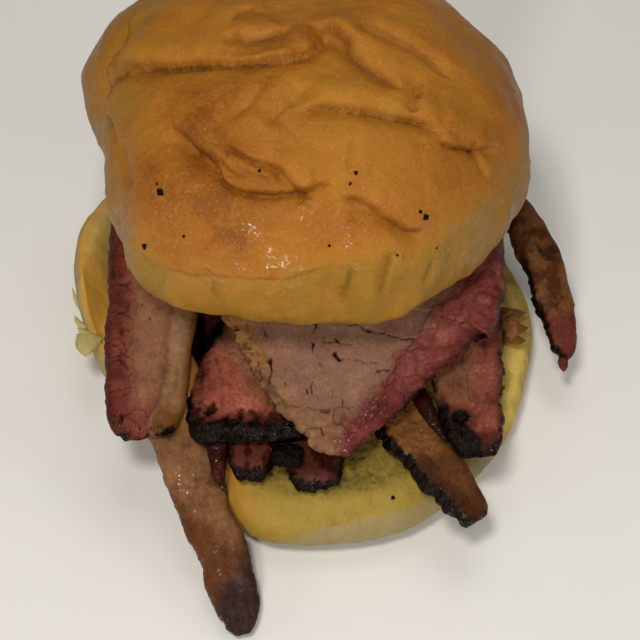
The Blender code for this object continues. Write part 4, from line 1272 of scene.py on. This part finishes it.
class Slice:
    """A fine mesh of one slice or strip, and where each of its points lies on it."""

    def __init__(self, name):
        seed, top_step, fine_from, fine_step = FINE[name]
        rows, marks, length = stations(BEEF[name], fine_from, fine_step)
        widest = rows[:, 3].max()
        shape = section(max(TOP_FEWEST, round(2.0 * widest / top_step)),
                        max(BOTTOM_FEWEST, round(widest / BOTTOM_STEP)))
        count, around = len(rows), len(shape)
        middle, half, thick = rows[:, :3], rows[:, 3], rows[:, 4]
        way = np.gradient(middle, marks, axis=0)
        way = way / np.linalg.norm(way, axis=1)[:, None]
        across = np.column_stack((-way[:, 1], way[:, 0], np.zeros(count)))
        across = across / np.linalg.norm(across, axis=1)[:, None]
        upward = np.cross(way, across)
        near_end = np.clip(np.minimum(marks, length - marks) / END_ROUND, 0.0, 1.0)
        rounding = np.sqrt(np.clip(1.0 - (1.0 - near_end) ** 2, END_THIN ** 2, 1.0))
        thick = thick * rounding
        corner = 1.0 - np.clip(marks / BACK_ROUND, 0.0, 1.0)
        half = half * (1.0 - BACK_NARROW * corner ** BACK_POWER) - (1.0 - rounding) * END_NARROW
        edge = np.minimum(EDGE_ROUND * thick, EDGE_MOST * half)
        flat, side, level = shape.T
        reach = flat * (half - edge)[:, None] + side * edge[:, None]
        lift = level * thick[:, None] / 2.0
        points = (middle[:, None] + reach[..., None] * across[:, None]
                  + lift[..., None] * upward[:, None]).reshape(-1, 3)
        outward = outward_from(points, np.repeat(middle, around, axis=0))
        self.side = np.tile(side, count)
        rough = CRAG_FACE + (CRAG_EDGE - CRAG_FACE) * np.abs(self.side)
        self.points = points + outward * (noise(points, CRAG_SIZE, seed) * rough)[:, None]
        self.level = np.tile(level, count)
        self.gone = np.repeat(marks, around)
        self.across = np.repeat(across, around, axis=0)
        self.way = np.repeat(way, around, axis=0)
        self.to_end = length - self.gone
        self.seed = seed
        self.name = name
        left_line, right_line = middle - across * half[:, None], middle + across * half[:, None]
        keep = np.unique(np.append(np.arange(0, count, LINE_STEP), count - 1))
        self.left = line_distance(self.points[:, :2], left_line[keep][:, :2])[0]
        self.right = line_distance(self.points[:, :2], right_line[keep][:, :2])[0]
        first = np.arange(around)
        quads = [ring_quads(first + k * around, first + (k + 1) * around)
                 for k in range(count - 1)]
        self.quads = np.vstack(quads)
        self.caps = [first, (count - 1) * around + first[::-1]]

    def tear(self, gap, away, band, amount, size, step):
        """Pull the outline at an edge in and out, with the face beside it."""
        place = self.points * np.array([1.0, 1.0, 0.5])
        pull = amount * blend(band, 0.0, gap) * fractal(place, size, self.seed + 60 + step, 4, 0.5)
        self.points = self.points + away * pull[:, None]

    def ragged(self, size, height, step=0):
        """Return noise for uneven borders between the parts of a slice."""
        return height * fractal(self.points, size, self.seed + 100 + step, 4, 0.62)

    def patches(self, low, high, size, step):
        """Return 0 to 1 in uneven patches."""
        return blend(low, high, self.ragged(size, 1.0, step))

    def cracks(self):
        """Return how deep in a crack or hole each point of the upper face is, and the painted shade
        in it.
        """
        deep, shade = np.zeros(len(self.points)), np.zeros(len(self.points))
        wander = np.column_stack([0.42 * fractal(self.points, 1.8, k, 2) for k in (91, 92)])
        plan = self.points[:, :2] + wander
        for width, depth, line in CRACKS.get(self.name, ()):
            gap = line_distance(plan, np.array(line))[0]
            gap = gap * (1.0 + 0.7 * noise(self.points, 1.1, 93))
            deep = np.maximum(deep, depth * blend(1.2 * width, 0.3 * width, gap))
            shade = np.maximum(shade, blend(width, 0.5 * width, gap) * min(1.05 * depth, 1.0))
        return deep * (self.level > 0.0), shade * (self.level > 0.0)

    def build(self, name, finish, lift, **masks):
        """Make the object, lift its surface and keep its masks."""
        thing = make_mesh(name, self.points, self.quads, self.caps)
        move_points(thing, self.points, lift)
        blank = np.zeros(len(self.points))
        paint(thing, **{key: blank + masks.get(key, 0.0) for key in MASKS})
        thing.data.materials.append(finish)
        return thing

    def crags(self):
        """Return the relief of crusty bark: sharp-edged beads on beads."""
        large = cells(self.points, 2.1, self.seed + 12)[0]
        small = cells(self.points, 1.05, self.seed + 13)[0]
        return 0.75 * (0.45 - large) + 0.40 * (0.45 - small) + self.ragged(1.6, 0.16, 14)

    def relief(self, bark, fat, ring):
        """Return the fine relief of lean, ring, fat and bark."""
        threads = cells(self.points, 1.3, self.seed + 11)
        seams = blend(0.18, 0.0, threads[1] - threads[0])
        edge = np.abs(self.side)
        plain = (1.0 - bark) * (1.0 - fat)
        lift = bark * self.crags() + self.ragged(3.0, 0.06 + 0.10 * ring * (1.0 - fat), 15)
        lift = lift + plain * (edge * self.ragged(2.0, 0.30, 16) - 0.06 * seams)
        return lift + fat * self.ragged(5.0, 0.22, 17)

    def stripes(self, size, stretch):
        """Return -1 to 1 in streaks that run along the slice."""
        place = self.points * np.array([1.0, 1.0 / stretch, 1.0])
        return fractal(place, size, self.seed + 118)


def make_slice_front(finish):
    """The big front slice: grey-pink face, pink granular ring on the right, fat on the left."""
    piece = Slice("slice_front")
    torn = blend(-12.0, -17.0, piece.points[:, 1])
    piece.tear(piece.left + 20.0 * (1.0 - torn), -piece.across, 5.0, 1.2, 3.2, 1)
    piece.tear(piece.right, piece.across, 2.5, 0.4, 1.6, 2)
    x, y, _ = piece.points.T
    face = blend(-0.2, 0.2, piece.level)
    ring_gap = piece.right + piece.ragged(3.5, 1.0)
    width = np.interp(y, (-38.0, -20.0, -5.0), (5.0, 7.6, 10.0))
    width = np.minimum(width, 0.42 * (piece.left + piece.right))
    ring = blend(1.8, -1.8, ring_gap - width)
    veins = vein_net(piece.points, 4.2, 31, 0.10) * ring
    fine_veins = vein_net(piece.points, 2.1, 41, 0.09) * ring
    net = vein_net(piece.points, 3.4, 35, 0.030) * (1.0 - ring)
    net = net * piece.patches(-0.4, 0.5, 7, 6)
    edge_dark = blend(2.2, 0.6, ring_gap) * piece.patches(-0.3, 0.4, 2.2, 3)
    granular = ring * blend(-27.0, -34.0, y)
    deep_red = np.maximum.reduce([0.85 * veins, 0.4 * fine_veins * (0.6 + granular),
                                  0.8 * edge_dark, 0.7 * granular])
    bark = blend(1.0, 0.3, piece.right + piece.ragged(2.0, 0.6, 1))
    bark = bark * blend(0.95, 0.0, piece.level) * blend(0.0, 0.4, piece.ragged(3.0, 1.0, 7) + 0.2)
    left_gap = piece.left + piece.ragged(3.0, 1.2, 2)
    golden = blend(6.0, 1.0, left_gap) * face * (0.35 + 0.65 * blend(-27.0, -20.0, y))
    golden = np.maximum(golden, blend(-32.0, -37.0, y + piece.ragged(3.0, 1.0, 9))
                        * 0.5 * blend(8.0, 3.0, x + piece.ragged(3.0, 1.0, 8)) * face)
    # Pits, lowered and darkened as painted shade.
    pits = blend(0.36, 0.20, cells(piece.points, 2.3, 15)[0]) * blend(4.0, 1.0, left_gap)
    pits = pits * blend(-25.0, -20.0, y)
    # Painted shade under the torn left edge.
    under = blend(1.3, 0.2, left_gap) * piece.patches(-0.4, 0.5, 1.8, 5)
    cut, shade = piece.cracks()
    lift = piece.relief(bark, 0.0, 0.6 * ring) - cut - 0.6 * pits - 0.10 * veins
    lift = lift + ring * (0.20 * smooth_step(2.5 * pebbles(piece.points, 4.2, 31))
                          + 0.10 * smooth_step(2.5 * pebbles(piece.points, 2.1, 41)))
    lift = lift + torn * blend(5.0, 0.5, left_gap) * piece.ragged(2.6, 0.5, 4) - 0.05 * net
    lift = lift + 0.05 * piece.stripes(1.1, 3.0) * face
    low_tip = 0.16 * blend(-30.0, -37.0, y) * (1.0 - ring)
    # Painted shade in the cracks, pits, net and under the torn edge; darker towards the lower tip.
    dark = np.maximum.reduce([shade, 0.65 * pits, 0.55 * under, 0.35 * net, low_tip])
    wet = np.maximum(granular, 0.5 * ring * piece.patches(0.2, 0.8, 5.0, 10))
    return piece.build("beef_front", finish, lift, ring=ring, deep=deep_red,
                       amber=0.35 * golden * blend(-27.0, -21.0, y),
                       fat=0.75 * golden * (1.0 - ring), bark=bark, dark=dark, wet=wet)


def make_slice_left(finish):
    """The left slice: fissured dark red ring on the left, strip of clear fat on the right."""
    piece = Slice("slice_left")
    piece.tear(piece.to_end, piece.way, 3.0, 0.6, 2.0, 1)
    ring_gap = piece.left + piece.ragged(3.0, 0.8)
    front = piece.to_end + piece.ragged(3.0, 0.9, 5)
    ring = np.maximum(blend(9.5, 4.0, ring_gap), 0.65 * blend(15.0, 4.0, front))
    fissures = vein_net(piece.points, 4.2, 51, 0.07) * blend(8.5, 4.5, ring_gap)
    fine = vein_net(piece.points, 2.1, 56, 0.06) * blend(9.5, 6.0, ring_gap)
    deep_red = np.maximum(0.9 * fissures, 0.70 * blend(3.2, 0.8, ring_gap))
    deep_red = np.maximum(deep_red, 0.6 * piece.patches(0.2, 0.8, 4.0, 7)
                          * blend(7.0, 4.0, ring_gap))
    strip_gap = piece.right + piece.ragged(6.0, 0.7, 1)
    fat = blend(5.2, 3.9, strip_gap)
    seam = 0.35 * np.exp(-((strip_gap - 5.4) / 0.9) ** 2)
    deep_red = np.maximum.reduce([deep_red, 0.4 * fine, seam])
    bark = blend(1.7, 0.7, piece.to_end + piece.ragged(2.0, 0.9, 2))
    bark = bark * blend(-0.5, 0.0, piece.ragged(4.0, 1.0, 8) + 0.2)
    bark = np.maximum(bark, blend(1.0, 0.4, piece.left + piece.ragged(2.0, 0.6, 3))
                      * blend(0.5, -0.5, piece.level))
    cut, shade = piece.cracks()
    lift = piece.relief(bark, fat, 0.3 * ring) - cut - 0.16 * fissures * (1.0 - fat)
    lift = lift + fat * (0.30 * piece.stripes(2.2, 9.0) + 0.10 * piece.stripes(0.9, 5.0))
    streaks = blend(-0.2, 0.7, piece.stripes(1.6, 9.0))
    wet = np.maximum(0.8 * fat * streaks, bark * blend(0.5, -0.2, piece.level))
    amber = fat * np.maximum.reduce([0.9 * blend(1.8, 0.5, piece.right), 0.65 * streaks,
                                     0.95 * blend(11.0, 4.0, front)])
    wet = np.maximum(wet, 0.4 * blend(6.0, 1.0, front))
    return piece.build("beef_left", finish, lift, ring=ring, deep=deep_red * (1.0 - fat),
                       fat=fat, bark=bark, wet=wet, amber=amber,
                       # Painted shade in the cracks and fissures; the fat darker towards the front
                       # end.
                       dark=np.maximum.reduce([0.9 * shade, 0.35 * fissures,
                                               0.35 * fat * blend(8.0, 3.0, front)]))


def make_slice_charred(finish):
    """The slice beside it: red face, brown fat at the right, thick black bark in front."""
    piece = Slice("slice_charred")
    piece.tear(piece.to_end, piece.way, 3.5, 1.2, 3.4, 1)
    piece.tear(piece.left, -piece.across, 2.5, 0.6, 1.8, 2)
    depth = piece.points[:, 1]
    pull = 1.6 - 6.4 * blend(-21.0, -8.0, depth) * blend(12.0, 3.0, depth)
    piece.points = piece.points - piece.across * (pull * blend(9.0, 0.0, piece.left))[:, None]
    x, y, _ = piece.points.T
    front = piece.to_end + piece.ragged(2.4, 1.3) + piece.ragged(7.0, 2.0, 12)
    left_gap = piece.left + piece.ragged(2.0, 0.7, 4)
    ring = blend(16.0, 9.0, np.minimum(front, piece.left + 1.0 + piece.ragged(3.0, 1.2, 1)))
    streaks = blend(0.1, 0.8, piece.stripes(1.0, 4.0))
    deep_red = 0.75 * blend(7.0, 1.5, left_gap) + 0.30 * streaks * ring
    deep_red = np.maximum(deep_red, 0.8 * blend(6.8, 4.8, front))
    deep_red = np.maximum(deep_red, 0.75 * blend(-17.0, -12.0, y + piece.ragged(3.0, 1.0, 6)))
    across = 0.78 * (x + 20.0) + 0.62 * (y + 13.5) + piece.ragged(3.0, 0.8, 10)
    olive = blend(-3.2, -0.8, across) * blend(6.0, 9.0, front)
    shadow = 0.8 * blend(-15.5, -11.5, y + piece.ragged(2.0, 0.7, 11)) * blend(-17.0, -21.0, x)
    shadow = np.maximum(shadow, 0.55 * blend(7.0, 4.4, front))
    fat = blend(-10.5, -8.0, x + piece.ragged(2.5, 0.8, 3)) * blend(-22.0, -26.0, y)
    bark = np.maximum(blend(4.8, 4.0, front), blend(1.5, 1.0, left_gap))
    rind = blend(1.2, 0.5, np.abs(left_gap - 2.2)) * piece.patches(-0.1, 0.4, 1.6, 7)
    bark = np.maximum(bark, 0.8 * rind)
    cut, shade = piece.cracks()
    lift = piece.relief(bark, fat, 0.6 * ring) - cut + 0.07 * piece.stripes(1.0, 4.0) * ring
    wet = np.maximum(bark * piece.patches(-0.3, 0.5, 2.0, 8), 0.8 * fat)
    wet = np.maximum(wet, 0.5 * ring * piece.patches(0.2, 0.9, 4.0, 9))
    return piece.build("beef_charred", finish, lift, ring=ring * (1.0 - 0.8 * olive),
                       deep=deep_red * (1.0 - olive), fat=fat, bark=bark,
                       dark=np.maximum(0.95 * shade, shadow), wet=wet)


def make_slice_right(finish):
    """The right slice: grey on the left, orange-pink on the right, charred lower corners."""
    piece = Slice("slice_right")
    piece.tear(piece.right, piece.across, 2.0, 0.45, 1.5, 1)
    piece.tear(piece.to_end, piece.way, 2.5, 0.6, 1.8, 2)
    x, y, _ = piece.points.T
    ring_gap = piece.right + piece.ragged(3.0, 1.0)
    front = piece.to_end + piece.ragged(2.0, 1.0, 2)
    ring = np.maximum(blend(10.0, 4.5, ring_gap), blend(14.0, 8.0, front))
    streaks = blend(0.2, 0.9, piece.stripes(1.2, 4.0)) * ring
    net = vein_net(piece.points, 2.6, 45, 0.05) * ring
    hole = np.hypot(x - 34.6, (y + 32.4) * 1.3) + piece.ragged(2.0, 0.8, 3)
    deep_red = np.maximum.reduce([0.45 * streaks, 0.8 * blend(6.5, 3.5, front), 0.5 * net,
                                  0.6 * blend(2.6, 0.8, piece.right), 0.7 * blend(5.0, 3.0, hole)])
    left_gap = piece.left + piece.ragged(2.0, 0.8, 4)
    bark = np.maximum.reduce([
        blend(0.7, 0.2, piece.right + piece.ragged(1.6, 0.8, 1)), blend(2.6, 1.5, front),
        blend(2.8, 1.9, hole), blend(2.6, 1.4, left_gap) * blend(-25.0, -30.0, y),
        blend(6.5, 4.0, left_gap) * blend(-31.0, -33.5, y + piece.ragged(2.0, 0.8, 5)),
        0.8 * blend(0.9, 0.3, left_gap)])
    cut, shade = piece.cracks()
    lift = piece.relief(bark, 0.0, 0.6 * ring) - cut - 0.9 * blend(2.0, 0.8, hole)
    lift = lift + 0.06 * piece.stripes(1.2, 4.0)
    wet = np.maximum(0.8 * blend(3.5, 1.5, front), 0.4 * ring * blend(0.2, 0.8, streaks))
    return piece.build("beef_right", finish, lift, ring=ring, deep=deep_red, bark=bark,
                       dark=np.maximum(shade, 0.38 * ring), wet=wet)


def make_end(name, finish, reach, dark):
    """A slice whose red, charred end sticks out at the bottom of the stack."""
    piece = Slice(name)
    piece.tear(piece.to_end, piece.way, 3.0, 1.1, 2.6, 1)
    front = piece.to_end + piece.ragged(2.4, 1.3)
    sides = np.minimum(piece.left, piece.right) + piece.ragged(2.0, 0.6, 1)
    bark = np.maximum(blend(reach, reach - 0.9, front), blend(1.2, 0.5, sides))
    deep_red = 0.35 + 0.65 * blend(-0.4, 0.5, piece.stripes(1.6, 2.0))
    lift = piece.relief(bark, 0.0, 0.8) + 0.10 * piece.stripes(1.0, 3.0) * (1.0 - bark)
    wet = np.maximum(0.5 * piece.patches(0.2, 0.8, 3.0, 2), 0.8 * bark)
    return piece.build(name.replace("slice", "beef"), finish, lift, ring=1.0, deep=deep_red,
                       bark=bark, dark=dark, wet=wet)


def make_inner(name, finish):
    """A slice inside the stack, seen only from the side."""
    piece = Slice(name)
    sides = np.minimum(piece.left, piece.right) + piece.ragged(2.4, 1.0, 1)
    ring = blend(6.0, 3.0, sides)
    bark = 0.9 * blend(1.6, 0.3, sides)
    return piece.build(name.replace("slice", "beef"), finish, piece.relief(bark, 0.0, ring),
                       ring=ring, deep=0.4 * ring, bark=bark)


def make_strip_left(finish):
    """The long wet strip of fat at the left: tan above, brown, then a dark purplish end."""
    piece = Slice("fat_strip_left")
    piece.tear(np.minimum(piece.left, piece.right), piece.across, 2.5, 0.5, 5.0, 1)
    gone = piece.to_end + piece.ragged(6.0, 3.0)
    across = piece.right - piece.left
    brown = np.maximum(blend(34.0, 22.0, gone - 0.8 * across + piece.ragged(3.0, 2.0, 2)),
                       0.6 * piece.patches(0.3, 0.9, 4.0, 3))
    purple = blend(19.0, 9.0, gone + 0.5 * across)
    step = blend(0.4, -0.4, across + 3.5 + 1.5 * np.sin(piece.to_end / 7.0))
    dents = piece.patches(0.2, 0.9, 3.2, 4)
    lift = 0.22 * piece.ragged(5.0, 1.0, 17) + 0.35 * step * blend(16.0, 24.0, piece.to_end)
    lift = lift + 0.16 * piece.stripes(2.2, 5.0) - 0.30 * dents
    rim = blend(1.4, 0.4, piece.left + piece.ragged(2.0, 0.4, 6)) * blend(-30.0, -45.0,
                                                                      piece.points[:, 1])
    wet = np.maximum(0.9 * piece.patches(0.0, 0.8, 3.0, 5), rim)
    return piece.build("fat_left", finish, lift, ring=1.0, fat=1.0 - brown, deep=0.9 * purple,
                       wet=wet)


def make_strip_right(finish):
    """The amber strip of fat at the right, with black bark along its lower left edge."""
    piece = Slice("fat_strip_right")
    piece.tear(piece.left, -piece.across, 2.6, 0.7, 2.2, 1)
    left_gap = piece.left + piece.ragged(2.0, 0.7)
    bark = np.maximum(blend(2.3, 1.3, left_gap), 0.7 * blend(1.2, 0.4, piece.to_end
                                                          + piece.ragged(2.4, 0.8, 2)))
    olive = blend(17.0, 23.0, piece.to_end + piece.ragged(4.0, 1.5, 3))
    brown = np.maximum(blend(9.0, 3.4, left_gap) * (1.0 - 0.7 * olive),
                       0.85 * blend(22.0, 14.0, piece.to_end))
    lift = bark * piece.crags() + (1.0 - bark) * (0.20 * piece.ragged(5.0, 1.0, 17)
                                                  + 0.14 * piece.stripes(2.0, 5.0))
    lift = lift + 0.18 * olive * piece.ragged(1.6, 1.0, 4)
    wet = np.maximum(0.10 + 0.90 * olive, 0.8 * bark)
    return piece.build("fat_right", finish, lift, ring=1.0, fat=1.0 - 0.9 * brown, bark=bark,
                       dark=0.25 * blend(6.0, 2.0, left_gap) * (1.0 - olive), wet=wet)


def make_strip_far(finish):
    """The wet strip at the far right: dark pits half way, a red lower end."""
    piece = Slice("strip_far_right")
    piece.tear(piece.left, -piece.across, 2.4, 0.5, 2.0, 1)
    x, y, _ = piece.points.T
    red = blend(13.0, 9.5, piece.to_end + piece.ragged(3.0, 1.2))
    seam = np.exp(-((piece.to_end + piece.ragged(3.0, 1.2) - 13.5) / 0.6) ** 2)
    bark = blend(1.4, 0.7, piece.left + piece.ragged(2.0, 0.5, 1)) * blend(22.0, 14.0, y)
    spot = np.hypot(x - 59.8, y - 18.5) + piece.ragged(1.8, 1.6, 2)
    # Pits, lowered and darkened as painted shade.
    pits = blend(3.0, 1.2, spot)
    brown = 0.45 + 0.45 * piece.patches(-0.3, 0.6, 4.0, 3)
    lift = bark * piece.crags() + (1.0 - bark) * (0.20 * piece.ragged(4.0, 1.0, 17)
                                                  + 0.14 * piece.stripes(1.5, 5.0) * (0.5 + red))
    lift = lift - 0.5 * pits + 0.18 * seam
    wet = 0.5 * piece.patches(0.2, 0.9, 3.0, 5)
    return piece.build("fat_far_right", finish, lift, ring=1.0, fat=1.0 - brown, deep=0.9 * red,
                       bark=bark, dark=0.75 * pits, wet=wet)


def make_lump(name, finish):
    """A small loose scrap with a craggy surface."""
    middle, half_sizes, seed, _, _, bark, masks = LUMPS[name]
    balls, faces = ball(5)
    sized = balls * np.array(half_sizes)
    points = sized * (1.0 + LUMP_CRAG * noise(sized, LUMP_CRAG_SIZE, seed))[:, None]
    points = points + np.array(middle)
    thing = make_mesh(name + "_fine", points, faces)
    crags = 0.6 * (0.45 - cells(points, 1.5, seed + 5)[0]) + 0.18 * fractal(points, 1.2, seed)
    move_points(thing, points, crags)
    blank = np.zeros(len(points))
    black = blend(1.0 - bark, 1.3 - bark, 0.5 + 0.5 * fractal(points, 2.0, seed + 6))
    paint(thing, ring=blank + 1.0, bark=black, wet=blank + 0.4,
          **{key: blank + value for key, value in masks.items()})
    thing.data.materials.append(finish)
    return thing


def make_strands(name, finish):
    """Make the closed, uneven strands of one kind of shred."""
    _, _, masks, strands = SHREDS[name]
    turn = 2.0 * math.pi * np.arange(STRAND_AROUND) / STRAND_AROUND
    points, quads, caps, count = [], [], [], 0
    for line, widths, flat in strands:
        path = smooth_line(line, STRAND_STEPS)
        share = np.linspace(0.0, 1.0, len(path))
        size = np.interp(share, np.linspace(0.0, 1.0, len(widths)), widths)
        size = size * np.sqrt(np.clip(4.0 * np.minimum(share, 1.0 - share), 0.01, 1.0))
        way = np.gradient(path, axis=0)
        side = np.cross(way, np.array([0.0, 0.0, 1.0]))
        side = side / np.linalg.norm(side, axis=1)[:, None]
        up = np.cross(side, way)
        up = up / np.linalg.norm(up, axis=1)[:, None]
        spoke = (np.cos(turn)[:, None] * side[:, None] + flat * np.sin(turn)[:, None] * up[:, None])
        ring = path[:, None] + size[:, None, None] * spoke
        bulge = noise(ring.reshape(-1, 3), 2.4, 300 + count % 7).reshape(-1, STRAND_AROUND)
        ring = path[:, None] + (size[:, None] * (1.0 + STRAND_SWELL * bulge))[..., None] * spoke
        points.append(ring.reshape(-1, 3))
        rings = count + np.arange(len(path) * STRAND_AROUND).reshape(-1, STRAND_AROUND)
        quads += [ring_quads(above, below) for above, below in zip(rings[:-1], rings[1:])]
        caps += [rings[0], rings[-1][::-1]]
        count += rings.size
    thing = make_mesh(name, np.vstack(points), np.vstack(quads), caps)
    paint(thing, **{key: np.full(count, value) for key, value in masks.items()})
    thing.data.materials.append(finish)
    return thing


def make_specks(finish):
    """Black specks of pepper and char stuck to the crust."""
    balls, faces = ball(4)
    points, triangles, places = [], [], []
    for x, y, half in SPECKS:
        spot = on_dome(np.array([[x, y]]))
        outward = outward_from(spot, np.array([0.0, 0.0, CROWN_HUB]))[0]
        places.append((crown_place(crown_crust(spot)[0])[0], outward, half))
    for x, y, z, half in HEEL_SPECKS:
        places.append((np.array([x, y, z]), np.array([0.0, 0.0, 1.0]), half))
    for index, (centre, outward, half) in enumerate(places):
        centre = centre + 0.15 * half * outward
        shape = balls * half * (1.0 + 0.6 * noise(balls, 0.7, 200 + index))[:, None]
        shape = shape - outward * (shape @ outward)[:, None] * 0.55
        triangles.append(faces + len(balls) * index)
        points.append(centre + shape)
    specks = make_mesh("char_specks", np.vstack(points), np.vstack(triangles))
    specks.data.materials.append(finish)
    return specks


# ============================================================================================
# the scene
# ============================================================================================
def make_floor():
    """A wide pale floor."""
    bpy.ops.mesh.primitive_plane_add(size=FLOOR_SIZE, location=(0.0, 0.0, 0.0))
    floor = bpy.context.object
    floor.name = "floor"
    plain = Finish("pale_floor")
    colour = plain.ramp(plain.grain(60.0), FLOOR_TINTS)
    floor.data.materials.append(plain.done(colour, 0.7, plain.bump(plain.grain(2.0), 0.01)))


def make_light():
    """Soft light from the front and above, and a pale sky."""
    world = bpy.data.worlds.new("studio")
    bpy.context.scene.world = world
    world.use_nodes = True
    sky = world.node_tree.nodes["Background"]
    sky.inputs["Color"].default_value = SKY
    sky.inputs["Strength"].default_value = SKY_STRENGTH
    for name, place, width, power, colour in LIGHTS:
        light = bpy.data.lights.new(name, "AREA")
        light.size, light.energy, light.color = width, power, colour
        lamp = bpy.data.objects.new(name, light)
        bpy.context.collection.objects.link(lamp)
        lamp.location = place
        way = np.array(LIGHT_AIM) - np.array(place)
        lamp.rotation_euler = (math.atan2(math.hypot(way[0], way[1]), -way[2]), 0.0,
                               math.atan2(-way[0], way[1]))
    bpy.context.scene.view_settings.view_transform = "Standard"


def make_camera():
    """The photograph's view."""
    lens = bpy.data.cameras.new("view")
    lens.lens = CAMERA_LENS
    lens.sensor_width = SENSOR
    lens.sensor_fit = "HORIZONTAL"
    lens.clip_start = NEAREST
    camera = bpy.data.objects.new("view", lens)
    bpy.context.collection.objects.link(camera)
    camera.location = [value * MM for value in CAMERA_AT]
    camera.rotation_euler = (math.radians(90.0 - CAMERA_DOWN), 0.0, 0.0)
    bpy.context.scene.camera = camera


def main():
    """Dress every node of the sandwich, then light it."""
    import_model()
    make_camera()
    looks = {"black_char": char_finish()}
    looks.update({name: beef_finish(name) for name in BEEF_LOOKS})
    looks["pale_heel"] = heel_finish()
    red_beef, amber_fat = looks["red_beef"], looks["amber_fat"]
    pieces = [
        (make_crown(crust_finish()), "crown", "bun_crust"),
        (make_crown_crumb(crumb_finish()), None, "bun_heel"),
        (make_heel(looks["pale_heel"]), "heel", "bun_heel"),
        (make_slice_front(looks["smoked_beef"]), "slice_front", "beef_lean"),
        (make_slice_left(looks["left_beef"]), "slice_left", "beef_lean"),
        (make_slice_charred(red_beef), "slice_charred", "beef_lean"),
        (make_slice_right(red_beef), "slice_right", "beef_lean"),
    ]
    pieces += [(make_end(node, red_beef, reach, dark), node, "beef_lean")
               for node, reach, dark in ENDS]
    pieces += [(make_inner(node, red_beef), node, "beef_lean") for node in INNER]
    pieces += [
        (make_strip_left(looks["tan_fat"]), "fat_strip_left", "beef_fat"),
        (make_strip_right(amber_fat), "fat_strip_right", "beef_fat"),
        (make_strip_far(amber_fat), "strip_far_right", "beef_fat"),
    ]
    pieces += [(make_lump(node, looks[row[3]]), node, row[4]) for node, row in LUMPS.items()]
    pieces += [(make_strands(name, looks[row[0]]), None, row[1]) for name, row in SHREDS.items()]
    pieces.append((make_specks(looks["black_char"]), None, "beef_bark"))
    for piece, node, slot in pieces:
        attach(piece, "root")
        if node:
            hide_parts(node)
    make_floor()
    make_light()


main()
